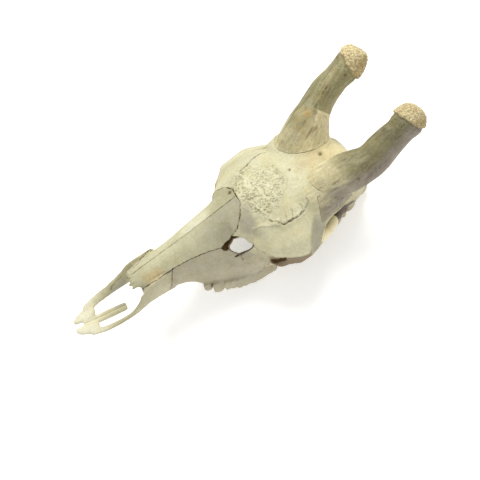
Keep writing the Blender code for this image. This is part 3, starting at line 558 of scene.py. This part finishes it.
def openness(tree, verts, normals):
    """The share of the half sphere above each point that is free."""
    draw = np.random.default_rng(7)
    ways = normalised(draw.normal(size=(OPEN_RAYS, 3)))
    result = np.zeros(len(verts))
    for i, normal in enumerate(normals):
        start = Vector(verts[i] + normal * OPEN_LIFT)
        free = 0
        for way in ways:
            way = way if way @ normal > 0 else -way
            if tree.ray_cast(start, Vector(way + OPEN_LEAN * normal), OPEN_REACH)[0] is None:
                free += 1
        result[i] = free / OPEN_RAYS
    return result


def horn_crease(verts, solids):
    """1 where a horn core meets the cranium, and 0 away from there."""
    y, z = verts[:, 1], verts[:, 2]
    near_feet = np.nonzero((y > FEET_Y[0]) & (y < FEET_Y[1]) & (z > FEET_Z))[0]
    away = np.zeros((2, len(near_feet)))
    for k, names in enumerate((("cranium",), ("ossicone_left", "ossicone_right"))):
        trees = [tree_of(*solids[name]) for name in names]
        for j, i in enumerate(near_feet):
            found = [tree.find_nearest(Vector(verts[i]), CREASE_REACH)[3] for tree in trees]
            away[k, j] = min((d for d in found if d is not None), default=CREASE_REACH)
    result = np.zeros(len(verts))
    result[near_feet] = 1 - smoothstep(away.max(0), *CREASE_FADE)
    return result


def whole_skin(solids):
    """One smooth surface over all the bones, with no sutures."""
    verts, faces, _ = joined((0, *solid) for solid in solids.values())
    verts, quads = remeshed(verts, faces, SKIN_VOXEL)
    averager = Averager(len(verts), edges_of(quads))
    for _ in range(SKIN_ROUNDS):
        for share in (SMOOTH_IN, SMOOTH_OUT):
            verts = averager.eased(verts, share)
    crease = horn_crease(verts, solids)[:, None]
    for _ in range(FILLET_ROUNDS):
        verts = averager.eased(verts, EASE * crease)
    return verts, quads


class Skin:
    """The whole skin, ready to find its nearest place and how open that is."""

    def __init__(self, solids):
        verts, quads = whole_skin(solids)
        self.tree = tree_of(verts, quads)
        self.face_normals = normalised(face_crosses(verts, quads))
        chosen = np.arange(0, len(verts), OPEN_EVERY)
        self.shares = openness(self.tree, verts[chosen], normals_of(verts, quads)[chosen])
        self.places = KDTree(len(chosen))
        for k, i in enumerate(chosen):
            self.places.insert(Vector(verts[i]), k)
        self.places.balance()

    def snapped(self, verts, normals):
        """Moves the outer surface of a bone onto the skin, and leaves its suture faces."""
        moved = verts.copy()
        weight = np.zeros(len(verts))
        for i, point in enumerate(verts):
            location, _, index, _ = self.tree.find_nearest(Vector(point), SNAP_REACH)
            if location is None:
                continue
            agree = float(self.face_normals[index] @ normals[i])
            weight[i] = min(max((agree - SNAP_AGREE) / SNAP_FADE, 0.0), 1.0)
            moved[i] = point + weight[i] * (np.array(location) - point)
        return moved, weight

    def open_at(self, points):
        """How open the skin is at each point, from its three nearest measured places."""
        result = np.ones(len(points))
        for i, point in enumerate(points):
            found = self.places.find_n(Vector(point), 3)
            result[i] = sum(self.shares[index] for _, index, _ in found) / len(found)
        return result


def distance_to(tree, owners, points):
    """Distance to the nearest other bone, up to a limit, the number of that bone and the way to it."""
    result = np.full(len(points), SEAM_REACH)
    nearest = np.full(len(points), -1)
    way = np.zeros((len(points), 3))
    for i, point in enumerate(points):
        found = tree.find_nearest(Vector(point), SEAM_REACH)
        if found[0] is not None:
            result[i] = found[3]
            nearest[i] = owners[found[2]]
            way[i] = np.array(found[0]) - point
    return result, nearest, way


def rough_relief(points):
    """The worm-like pits of the forehead: how far they sink, from 0 to 1."""
    bent = points + 2.5 * noise_vectors(points, size=8, seed=77)
    strokes = value_noise(bent * np.array([1.0, 0.75, 1.0]), size=4.4, seed=12)
    strokes = 1 - smoothstep(np.abs(strokes), 0.08, 0.34)
    broken = smoothstep(value_noise(points, size=6.0, seed=19), -0.45, 0.15)
    pits = 1 - smoothstep(cell_pits(bent, size=5.0, seed=55), 0.18, 0.4)
    return np.clip(np.maximum(strokes * broken, pits), 0, 1)


def forehead_at(points):
    """How high and how dark the rough patch between the orbits is."""
    patch = inside_patch(points, ROUGH_PATCH, 8.0) * smoothstep(points[:, 2], 150, 160)
    relief = rough_relief(points)
    stain = smoothstep(value_noise(points, size=6, seed=24), -0.2, 0.6)
    return patch * (0.7 - 2.1 * relief), (0.1 + 0.32 * stain) * patch * relief


def horn_forms(points, side):
    """The grain of the shaft, the pebbles of the cap and the masks that go with them."""
    top = HORN_TOPS[side]
    middle = np.array(top.middle)
    beyond = (points - middle) @ unit(top.way) - top.start
    cap = (points - middle) @ unit(top.cap_way) - top.cap_start + 2.2 * value_noise(points, size=8, seed=3)
    knob = smoothstep(cap, -1.6, 1.6)
    shaft = 1 - knob
    line = unit(middle - np.array(HORN_FEET[side], float))
    squeezed = points - GRAIN_STRETCH * (points @ line)[:, None] * line
    grain = layered_noise(squeezed, size=4.2, seed=31 + side, layers=2)
    coarse = layered_noise(squeezed, size=12.0, seed=47 + side, layers=2)
    shaken = points + 0.8 * noise_vectors(points, size=5, seed=66, layers=1)
    cells = cell_pits(shaken, size=3.9, seed=61 + side)
    pebbles = 1 - smoothstep(cells, 0.1, 0.8)
    dots = 1 - smoothstep(cell_pits(points, size=5.5, seed=71), 0.12, 0.28)
    dots = dots * (1 - smoothstep(np.abs(cap + 9), 4, 11))
    height = shaft * (0.55 * grain + 0.6 * coarse - 0.9 * dots) + knob * (1.3 * pebbles - 0.3)
    height -= 1.9 * shaft * smoothstep(cap, -8, -0.5)
    height += 1.3 * knob * bell(cap - 4.0, 3.5)
    height += 0.35 * knob * layered_noise(points, size=14, seed=83, layers=2)
    for lump in LUMPS[side]:
        height += lump.rise * bell(np.linalg.norm(points - np.array(lump.spot), axis=1), lump.radius)
    dark = 0.34 * shaft * smoothstep(-grain, 0.2, 0.7) + 0.45 * shaft * dots
    dark = np.maximum(dark, 0.22 * knob * smoothstep(cells, 0.6, 0.95))
    return HornForms(height, knob, dark, grain, coarse, beyond)


def grooves_at(name, points):
    """How high and how dark the grooves and pits of a bone are."""
    height = np.zeros(len(points))
    dark = np.zeros(len(points))
    bent = points + 2.2 * noise_vectors(points, size=7, seed=91)
    bent += 1.1 * noise_vectors(points, size=3.2, seed=93, layers=1)
    breaks = value_noise(points, size=4.5, seed=97)
    margin = 14
    for groove in GROOVES.get(name, ()):
        low, high = np.min(groove.line, axis=0) - margin, np.max(groove.line, axis=0) + margin
        close = np.nonzero(((points > low) & (points < high)).all(1))[0]
        away, place = line_distance(bent[close], groove.line)
        ends = smoothstep(place, -0.01, 0.12) * (1 - smoothstep(place, 0.88, 1.01))
        part = 1 - groove.broken * smoothstep(breaks[close], 0.0, 0.5)
        sunk = bell(away, groove.half) * ends * (0.4 + 0.6 * part)
        height[close] += groove.lips * bell(away, 3.2 * groove.half) * ends - groove.depth * sunk
        shade = groove.darkness * part * smoothstep(place, groove.start - 0.05, groove.start + 0.05)
        dark[close] = np.maximum(dark[close], shade * bell(away, 0.8 * groove.half) * ends)
    for pit in PITS.get(name, ()):
        away = np.linalg.norm(bent - np.array(pit.spot), axis=1)
        height -= pit.depth * bell(away, pit.radius)
        dark = np.maximum(dark, pit.darkness * bell(away, 1.1 * pit.radius))
    return height, dark


def suture_at(name, points, seam, nearest):
    """How high and how dark the sutures with each neighbour are."""
    dark = np.zeros(len(points))
    height = np.zeros(len(points))
    breaks = value_noise(points, size=5.0, seed=131)
    width_noise = 1 + 0.35 * value_noise(points, size=4.0, seed=137)
    for k, other in enumerate(BONES):
        here = nearest == k
        pair = tuple(sorted((kind(name), kind(other))))
        if not here.any() or pair not in SUTURES:
            continue
        suture = SUTURES[pair]
        part = 1 - suture.broken * smoothstep(breaks[here], -0.1, 0.35)
        if pair == ("nasal", "nasal"):
            y = points[here, 1]
            part = part * (1 - 0.75 * smoothstep(y, 236, 252) * (1 - smoothstep(y, 296, 318)))
        profile = bell(np.maximum(seam[here] - 0.35, 0), suture.half * width_noise[here])
        dark[here] = suture.darkness * part * profile
        height[here] = -suture.depth * (0.4 + 0.6 * part) * profile
        if pair == ("cranium", "nasal"):
            height[here] += 0.45 * bell(seam[here] - 3.2, 1.6)
    return height, dark


def closed_pairs(name, nearest):
    """1 beside the bones that have grown tight to this one, and less beside the others."""
    result = np.full(len(nearest), LOOSE_SEAM)
    for k, other in enumerate(BONES):
        if {kind(name), kind(other)} == {"cranium", "ossicone"}:
            result[nearest == k] = 1.0
    return result


def walls_at(points):
    """How high the walls are and how dark their painted shade is, with ragged edges."""
    height = np.zeros(len(points))
    dark = np.zeros(len(points))
    ragged = 0.9 * value_noise(points, size=3.5, seed=151)
    for wall in SHADED_WALLS:
        away = line_distance(points, wall.line)[0] + ragged
        mask = 1 - smoothstep(away, wall.half - 0.7, wall.half + 0.7)
        height -= wall.depth * mask
        dark = np.maximum(dark, mask)
    return height, dark


def notch_at(points):
    """How high the notch under the brow is and how dark its painted shade is."""
    away = line_distance(points, NOTCH)[0] + 1.2 * value_noise(points, size=4, seed=163)
    hole = 1 - smoothstep(away, *NOTCH_EDGE)
    return -NOTCH_DEPTH * hole, NOTCH_SHADE_DARKNESS * hole


def brow_ridge(points):
    """The height of the brow's crisp edges on both sides."""
    height = np.zeros(len(points))
    for side in (1, -1):
        away, place = line_distance(points, mirrored(BROW_EDGE, side))
        ends = smoothstep(place, 0.0, 0.1) * (1 - smoothstep(place, 0.85, 1.0))
        height += BROW_RISE * ends * np.clip(1 - np.maximum(away - 1.0, 0) / 6.0, 0, 1) ** 1.3
    return height


def horn_rays(points):
    """The height of the fine rays round the horn feet."""
    height = np.zeros(len(points))
    shift = 3 * value_noise(points, size=15, seed=40)
    for side in (1, -1):
        out = points - mirrored(RAY_MIDDLE, side)
        turn = np.arctan2(out[:, 1], out[:, 0])
        ring = bell(np.linalg.norm(out, axis=1) - RAY_RING, RAY_WIDTH)
        height += 0.3 * ring * np.sin(turn * RAY_TURNS + shift)
    return height


def nasal_rays(points):
    """The height of the fine lines along the rear of the nasals."""
    rays = value_noise(points * np.array([0.5, 0.16, 0.5]), size=3.2, seed=44)
    return 0.22 * rays * smoothstep(points[:, 1], 240, 340)


def pores_at(points):
    """How high and how dark the scattered pores are."""
    pore = smoothstep(-cell_pits(points, size=8.0, seed=140), -0.12, -0.05)
    pore = pore * smoothstep(value_noise(points, size=30, seed=144), -0.3, 0.4)
    return -0.4 * pore, 0.16 * pore


def fine_forms(name, points, seam, nearest):
    """How far each point of the outer surface moves out, and how dark it is."""
    height = 0.3 * layered_noise(points, size=26.0, seed=5, layers=2)
    height += 0.15 * value_noise(points, size=5.0, seed=8)
    forms = [suture_at(name, points, seam, nearest), grooves_at(name, points)]
    if name == "cranium":
        forms += [forehead_at(points), notch_at(points)]
        height += brow_ridge(points) + horn_rays(points)
    if name in WALL_BONES:
        forms.append(walls_at(points))
    if kind(name) == "nasal":
        height += nasal_rays(points)
    forms.append(pores_at(points))
    dark = np.zeros(len(points))
    for rise, shade in forms:
        height += rise
        dark = np.maximum(dark, shade)
    return height, dark


def wobble(name, points, normals, seam):
    """The irregular run of the sutures and the ragged tips of the nasals, as sideways moves."""
    warp = 1.7 * noise_vectors(points, size=7.5, seed=300)
    warp += 1.1 * noise_vectors(points, size=3.4, seed=310, layers=1)
    warp -= (warp * normals).sum(1)[:, None] * normals
    reach = 1 - smoothstep(seam, 1.0, SEAM_REACH)
    if kind(name) == "nasal":
        y = points[:, 1]
        at_tip = 1 - smoothstep(y, y.min() + 2, y.min() + 20)
        warp[:, 1] += SPIKE_LENGTH * value_noise(points * SPIKE_GRAIN, size=3.4, seed=171) * at_tip
        reach = np.maximum(reach, at_tip)
    return reach[:, None] * warp


def painted(tone, mask, colour):
    """The tone with a colour laid over it where the mask says."""
    return tone + mask[:, None] * (np.array(colour) - tone)


def near(points, tint):
    """1 at a tint's spot and 0 beyond its reach, with a wavy edge."""
    away = np.linalg.norm((points - np.array(tint.spot)) / np.array(tint.reach), axis=1)
    away += 0.18 * value_noise(points, size=11, seed=401)
    return 1 - smoothstep(away, 1 - tint.edge, 1)


def tinted(tone, points, *tints, mask=1.0):
    """The tone with tints laid over it, one after the other."""
    for tint in tints:
        tone = painted(tone, tint.strength * near(points, tint) * mask, tint.colour)
    return tone


def cranium_tone(tone, points, normals):
    """Paler forehead, brown painted shade on the side faces under the brows, grey painted shade on the facets
    behind the orbits and brown painted shade on the dark bits beside the nub.
    """
    x, y, z = points.T
    tone = painted(tone, 0.6 * (1 - smoothstep(z, 90, 150)), LOW_BRAINCASE)
    tone = tinted(tone, points, *CRANIUM_TINTS)
    edge_z = np.interp(y, [p[1] for p in BROW_EDGE], [p[2] for p in BROW_EDGE])
    for side in (1, -1):
        # The side face under each brow edge gets painted shade.
        face = smoothstep(edge_z - z, -1.4, 1.2) * smoothstep(side * x, 112, 122)
        face = face * smoothstep(y, 374, 382) * (1 - smoothstep(y, 446, 452))
        tone = painted(tone, face, BROW_FACE_SHADE)
        corner = BROW_CORNER_SHADE._replace(spot=mirrored(BROW_CORNER_SHADE.spot, side))
        tone = tinted(tone, points, corner, mask=face)
        # Painted shade on the facets behind the orbits.
        temple_shade = smoothstep(normals @ mirrored(TEMPLE_WAY, side), 0.68, 0.97)
        temple_shade = temple_shade * smoothstep(side * x, 95, 110) * smoothstep(y, 446, 456)
        tone = painted(tone, 0.9 * temple_shade, TEMPLE_SHADE)
    tone = tinted(tone, points, NAPE_TINT)
    # Painted shade on the dark bits beside the nub.
    away = line_distance(points, DARK_BITS)[0] + 3 * value_noise(points, size=8, seed=333)
    return painted(tone, 0.9 * (1 - smoothstep(away, *DARK_BITS_EDGE)), BITS_SHADE_BROWN)


def maxilla_tone(tone, points):
    """Yellower teeth and a duller side."""
    tone = painted(tone, 0.5 * (1 - smoothstep(points[:, 2], 14, 34)), TOOTH_CREAM)
    return tinted(tone, np.abs(points), *MAXILLA_TINTS)


def muzzle_tone(name, tone, points):
    """The premaxillae and nasals: pale at the tips, browner where they touch, with painted shade on the left
    nasal's rear slope and on the right premaxilla's inner face.
    """
    x, y, _ = points.T
    tone = painted(tone, 1 - smoothstep(y, 20, 85), TIP_CREAM)
    dull = 0.5 * smoothstep(y, 60, 90) * (1 - smoothstep(y, 120, 200))
    tone = painted(tone, dull, MUZZLE_DULL)
    if name == "nasal_left":
        # Painted shade on the left nasal's rear slope, which faces away from the light.
        tone = painted(tone, 0.85 * smoothstep(y, 235, 345), LEFT_NASAL_REAR_SHADE)
    if name in ("premaxilla_left", "nasal_left"):
        tone = tinted(tone, points, CONTACT_TINT)
    if name == "nasal_right":
        tone = painted(tone, 0.8 * smoothstep(y, 290, 345), RIGHT_NASAL_REAR)
        tone = tinted(tone, points, NASAL_RIGHT_TINT)
    if name == "premaxilla_right":
        # Painted shade on the right premaxilla's inner face.
        inner = smoothstep(x, -40, -35) * smoothstep(y, 80, 95) * (1 - smoothstep(y, 122, 134))
        tone = painted(tone, 0.6 * inner, INNER_FACE_SHADE)
    if name == "premaxilla_left":
        tone = painted(tone, 0.5 * smoothstep(y, 125, 145), PREMAXILLA_REAR)
    return tone


def left_horn_tone(tone, points, normals, foot, below):
    """Olive above and a purple-grey painted shade on its lower flank."""
    tone = painted(tone, 0.62 * foot, DARK_OLIVE)
    tone = painted(tone, 0.75 * below, UNDER_LEFT_CAP)
    # Painted shade on the flank that faces away from the light.
    flank = smoothstep(normals @ SHADY_WAY, 0.0, 0.6)
    tone = painted(tone, 0.85 * flank, PURPLE_GREY_SHADE)
    return tinted(tone, points, *LEFT_HORN_TINTS)


def right_horn_tone(tone, points, normals, foot, below, beyond):
    """A pale inner flank up to a sharp dark edge, with orange stains on the outer side."""
    tone = painted(tone, 0.55 * below, UNDER_RIGHT_CAP)
    dim = smoothstep((points - DIM_PLACE) @ DIM_WAY, -0.6, 1.6)
    inner = smoothstep(normals @ INNER_WAY, -0.1, 0.45)
    outer = 1 - inner
    tone = painted(tone, 0.8 * inner * (1 - dim), PALE_FLANK)
    tone = painted(tone, 0.6 * dim * inner * smoothstep(-beyond, 18, 40), DIM_FLANK)
    tone = tinted(tone, points, RIGHT_HORN_DULL)
    tone = tinted(tone, points, RIGHT_HORN_OUTER, mask=outer)
    tone = painted(tone, 0.35 * smoothstep(-beyond, -2, 20) * (1 - foot) * outer, OUTER_SHAFT)
    tone = tinted(tone, points, RIGHT_HORN_PALE)
    patches = smoothstep(layered_noise(points, size=15, seed=219, layers=2), -0.1, 0.4)
    return tinted(tone, points, RIGHT_HORN_STAIN, mask=patches)


def ossicone_tone(tone, points, normals, side, horn):
    """The stained shaft and the yellow cap of a horn core."""
    shaft = 1 - horn.knob
    foot = 1 - smoothstep(-horn.beyond, *PALE_FOOT[side])
    tone = painted(tone, 1 - foot, HORN_FOOT)
    tone = painted(tone, 0.75 * foot * smoothstep(horn.coarse, -0.35, 0.45) * shaft, HORN_OLIVE)
    brown = smoothstep(layered_noise(points, size=24, seed=210 + side), 0.05, 0.4)
    tone = painted(tone, 0.5 * foot * brown * shaft, HORN_BROWN)
    below = smoothstep(horn.beyond, -17, -2)
    if side > 0:
        tone = left_horn_tone(tone, points, normals, foot, below)
    else:
        tone = right_horn_tone(tone, points, normals, foot, below, horn.beyond)
    specks = value_noise(points, size=2.1, seed=251)
    tone = tone * (1 + (0.26 * horn.grain + 0.13 * specks) * shaft)[:, None]
    tone = painted(tone, horn.knob, CAP_TONES[side])
    return painted(tone, 0.7 * horn.knob * smoothstep(normals @ SHADY_WAY, 0.05, 0.75), CAP_SHADE)


def tone_of(name, points, normals, horn):
    """The base colour of each point."""
    base = np.array(BASE_TONES[kind(name)])
    tone = np.tile(base, (len(points), 1))
    yellow = smoothstep(layered_noise(points, size=42, seed=200), -0.1, 0.5)
    tone = painted(tone, 0.35 * yellow, base * YELLOWED)
    grey = smoothstep(layered_noise(points, size=36, seed=260), 0.0, 0.5)
    tone = painted(tone, 0.3 * grey, base * GREYED)
    if name == "cranium":
        tone = cranium_tone(tone, points, normals)
    if kind(name) == "maxilla":
        tone = maxilla_tone(tone, points)
    if kind(name) in ("premaxilla", "nasal"):
        tone = muzzle_tone(name, tone, points)
    if kind(name) == "ossicone":
        tone = ossicone_tone(tone, points, normals, side_of(name), horn)
    clouds = layered_noise(points, size=30, seed=230)
    fine = value_noise(points, size=2.6, seed=257)
    return np.clip(tone * (1 + 0.09 * clouds + 0.08 * fine)[:, None], 0, 1)


def add_values(mesh, name, values):
    layer = mesh.attributes.new(name, "FLOAT", "POINT")
    layer.data.foreach_set("value", np.ascontiguousarray(values, np.float32))


def add_colours(mesh, name, colours):
    layer = mesh.attributes.new(name, "FLOAT_COLOR", "POINT")
    rgba = np.concatenate([colours, np.ones((len(colours), 1))], 1)
    layer.data.foreach_set("color", np.ascontiguousarray(rgba, np.float32).ravel())


def outer_surface(name, solid, skin):
    """A bone's surface on the skin, with its averager and how much each vertex is part of the skin."""
    verts, quads = remeshed(*solid, HORN_VOXEL if kind(name) == "ossicone" else BONE_VOXEL)
    averager = Averager(len(verts), edges_of(quads))
    verts = averager.eased(verts, EASE)
    verts, weight = skin.snapped(verts, normals_of(verts, quads))
    for _ in range(BONE_ROUNDS):
        verts = averager.eased(verts, EASE * weight[:, None])
    return verts, quads, averager, weight


def bone_mesh(name, verts, quads, tone, values):
    """The mesh of a bone's fine surface, kept inside the solids' box, with its painted values."""
    low, high = np.array(cad_box[0]) + BOX_MARGIN, np.array(cad_box[1]) - BOX_MARGIN
    mesh = bpy.data.meshes.new(name + "_fine")
    mesh.from_pydata(np.clip(to_model(verts), low, high).tolist(), [], quads.tolist())
    add_colours(mesh, "tone", tone)
    for label, numbers in values.items():
        add_values(mesh, label, numbers)
    for polygon in mesh.polygons:
        polygon.use_smooth = True
    return mesh


def bone_piece(name, solid, skin, others_tree, owners):
    """The fine surface of one bone."""
    verts, quads, averager, weight = outer_surface(name, solid, skin)
    seam, nearest, way = distance_to(others_tree, owners, verts)
    closing = CLOSING * (1 - smoothstep(seam, *CLOSING_FADE)) * closed_pairs(name, nearest)
    points = verts + (closing * weight)[:, None] * way
    normals = normals_of(points, quads)
    for _ in range(NORMAL_ROUNDS):
        normals = averager.mean(normals)
    normals = normalised(normals)

    height, dark = fine_forms(name, points, seam, nearest)
    nub = 1 - smoothstep(line_distance(points, NUB)[0], *NUB_EDGE)
    height += NUB_RISE * nub
    knob, horn = np.zeros(len(points)), None
    if kind(name) == "ossicone":
        horn = horn_forms(points, side_of(name))
        knob = horn.knob
        height += horn.height
        dark = np.maximum(dark, horn.dark)
    verts = points + wobble(name, points, normals, seam) + (weight * height)[:, None] * normals

    tone = tone_of(name, points, normals, horn)
    if kind(name) in ("cranium", "zygomatic"):
        tone = painted(tone, nub, NUB_CREAM)
    if name == "ossicone_left":
        beside = (1 - smoothstep(seam, 0.5, SEAM_REACH)) * smoothstep(points[:, 0], *FOOT_SIDE)
        tone = painted(tone, 0.55 * beside, HORN_SEAM)
    mesh = bone_mesh(name, verts, quads, tone, {
        "open": np.maximum(skin.open_at(points), nub), "dark": dark * (1 - NUB_CLEAR * nub), "knob": knob,
    })
    mesh.materials.append(bone_material(name + "_dry_bone"))
    piece = bpy.data.objects.new(name + "_fine", mesh)
    bpy.context.scene.collection.objects.link(piece)
    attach(piece, "root")
    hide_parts(name)


class Nodes:
    """Short calls for a material's nodes."""

    def __init__(self, material):
        self.tree = material.node_tree

    def feed(self, value, socket):
        """Links another node's output to a socket, or sets the socket to a constant."""
        if isinstance(value, bpy.types.NodeSocket):
            self.tree.links.new(value, socket)
        else:
            socket.default_value = value

    def add(self, node_type, settings=(), inputs=()):
        node = self.tree.nodes.new(node_type)
        for key, value in dict(settings).items():
            setattr(node, key, value)
        for key, value in dict(inputs).items():
            self.feed(value, node.inputs[key])
        return node

    def painted_value(self, attribute):
        return self.add("ShaderNodeAttribute", {"attribute_name": attribute}).outputs["Fac"]

    def span(self, value, low, high, to_low=0.0, to_high=1.0):
        node = self.add("ShaderNodeMapRange", {"interpolation_type": "SMOOTHSTEP"}, {
            "Value": value, "From Min": low, "From Max": high, "To Min": to_low, "To Max": to_high,
        })
        return node.outputs["Result"]

    def math(self, operation, a, b):
        return self.add("ShaderNodeMath", {"operation": operation}, {0: a, 1: b}).outputs[0]

    def mix(self, factor, a, b, blend="MIX"):
        node = self.add("ShaderNodeMix", {"data_type": "RGBA", "blend_type": blend})
        for key, value in (("Factor_Float", factor), ("A_Color", a), ("B_Color", b)):
            self.feed(value, next(s for s in node.inputs if s.identifier == key))
        return next(s for s in node.outputs if s.identifier == "Result_Color")

    def noise(self, place, scale, detail):
        return self.add("ShaderNodeTexNoise", (), {
            "Vector": place, "Scale": scale, "Detail": detail, "Roughness": 0.55,
        }).outputs["Fac"]

    def bump(self, inputs):
        return self.add("ShaderNodeBump", (), inputs).outputs["Normal"]


def bone_material(name):
    """Dry bone: mottled cream, brown in the sutures and grooves, brown painted shade in the hollows, walls
    and notch, with pores and a soft sheen.
    """
    material = bpy.data.materials.new(name)
    material.use_nodes = True
    n = Nodes(material)
    shader = material.node_tree.nodes["Principled BSDF"]
    place = n.add("ShaderNodeTexCoord").outputs["Object"]
    mottled = n.noise(place, 60.0, 4.0)
    fine = n.noise(place, 420.0, 3.0)
    dark = n.painted_value("dark")
    knob = n.painted_value("knob")
    pebble = n.add("ShaderNodeTexVoronoi", (), {"Vector": place, "Scale": 290.0}).outputs["Distance"]

    colour = n.add("ShaderNodeAttribute", {"attribute_name": "tone"}).outputs["Color"]
    colour = n.mix(n.span(mottled, 0.38, 0.72, 0.0, 0.45), colour, WARM_MOTTLE, "MULTIPLY")
    colour = n.mix(n.span(fine, 0.5, 0.75, 0.0, 0.55), colour, FINE_MOTTLE, "MULTIPLY")
    # Painted shade: brown where the skin is enclosed.
    hollow_shade = n.span(n.painted_value("open"), 0.6, 0.1)
    colour = n.mix(n.math("MULTIPLY", hollow_shade, 0.9), colour, HOLLOW_SHADE_BROWN)
    # Brown of the sutures, grooves and spots, and painted shade in the walls, the notch and the holes.
    colour = n.mix(n.math("MULTIPLY", dark, 0.97), colour, GROOVE_AND_SHADE_BROWN)
    between = n.math("MULTIPLY", n.span(pebble, 0.35, 0.75), knob)
    colour = n.mix(n.math("MULTIPLY", between, 0.55), colour, PEBBLE_GAP)

    grains = n.math("ADD", n.math("MULTIPLY", fine, 0.7), n.math("MULTIPLY", mottled, 0.5))
    normal = n.bump({"Height": grains, "Strength": 0.6, "Distance": 0.001})
    stones = n.math("MULTIPLY", n.math("SUBTRACT", 1.0, pebble), knob)
    normal = n.bump({"Height": stones, "Strength": 0.9, "Distance": 0.0022, "Normal": normal})
    n.feed(colour, shader.inputs["Base Color"])
    n.feed(n.span(mottled, 0.3, 0.7, 0.5, 0.72), shader.inputs["Roughness"])
    n.feed(n.span(dark, 0.1, 0.8, 0.5, 0.08), shader.inputs["Specular IOR Level"])
    shader.inputs["Metallic"].default_value = 0.0
    shader.inputs["IOR"].default_value = 1.45
    n.feed(normal, shader.inputs["Normal"])
    return material


def floor():
    """A plain pale floor that glows a little, so that shadows on it stay pale."""
    corners = [(x * FLOOR_HALF, y * FLOOR_HALF, 0) for x, y in ((-1, -1), (1, -1), (1, 1), (-1, 1))]
    mesh = bpy.data.meshes.new("floor")
    mesh.from_pydata(corners, [], [(0, 1, 2, 3)])
    obj = bpy.data.objects.new("floor", mesh)
    bpy.context.scene.collection.objects.link(obj)
    material = bpy.data.materials.new("floor")
    material.use_nodes = True
    shader = material.node_tree.nodes["Principled BSDF"]
    shader.inputs["Base Color"].default_value = (FLOOR_ALBEDO, FLOOR_ALBEDO, FLOOR_ALBEDO, 1)
    shader.inputs["Roughness"].default_value = 0.9
    shader.inputs["Emission Color"].default_value = (1, 1, 1, 1)
    shader.inputs["Emission Strength"].default_value = FLOOR_GLOW
    mesh.materials.append(material)


def lamp(name, place, size, power, colour):
    light = bpy.data.lights.new(name, "AREA")
    light.shape = "SQUARE"
    light.size = size
    light.energy = power
    light.color = colour
    obj = bpy.data.objects.new(name, light)
    obj.location = place
    obj.rotation_euler = (Vector(LAMP_TARGET) - Vector(place)).to_track_quat("-Z", "Y").to_euler()
    bpy.context.scene.collection.objects.link(obj)


def studio():
    """Soft light from behind the skull's right and above, a weak fill and an even surrounding."""
    lamp("key", (-0.95, 0.85, 2.1), size=1.5, power=50, colour=(1.0, 0.985, 0.95))
    lamp("fill", (1.7, -0.6, 1.6), size=1.6, power=5, colour=(0.95, 0.97, 1.0))
    world = bpy.data.worlds.new("studio")
    world.use_nodes = True
    background = world.node_tree.nodes["Background"]
    background.inputs["Color"].default_value = (1, 1, 1, 1)
    background.inputs["Strength"].default_value = WORLD_LIGHT
    bpy.context.scene.world = world
    bpy.context.scene.view_settings.view_transform = "Standard"


def camera():
    data = bpy.data.cameras.new("camera")
    data.sensor_width = SENSOR_WIDTH
    data.lens = CAMERA_LENS
    data.clip_start = 0.01
    obj = bpy.data.objects.new("camera", data)
    obj.location = CAMERA_PLACE
    obj.rotation_mode = "QUATERNION"
    obj.rotation_quaternion = Quaternion(CAMERA_TURN)
    bpy.context.scene.collection.objects.link(obj)
    bpy.context.scene.camera = obj


def build_bones():
    solids = {name: cad_in_skull_frame(name) for name in BONES}
    skin = Skin(solids)
    for name in BONES:
        others = [(k, *solids[other]) for k, other in enumerate(BONES) if other != name]
        verts, faces, owners = joined(others)
        bone_piece(name, solids[name], skin, tree_of(verts, faces), owners)


camera()
floor()
studio()
build_bones()
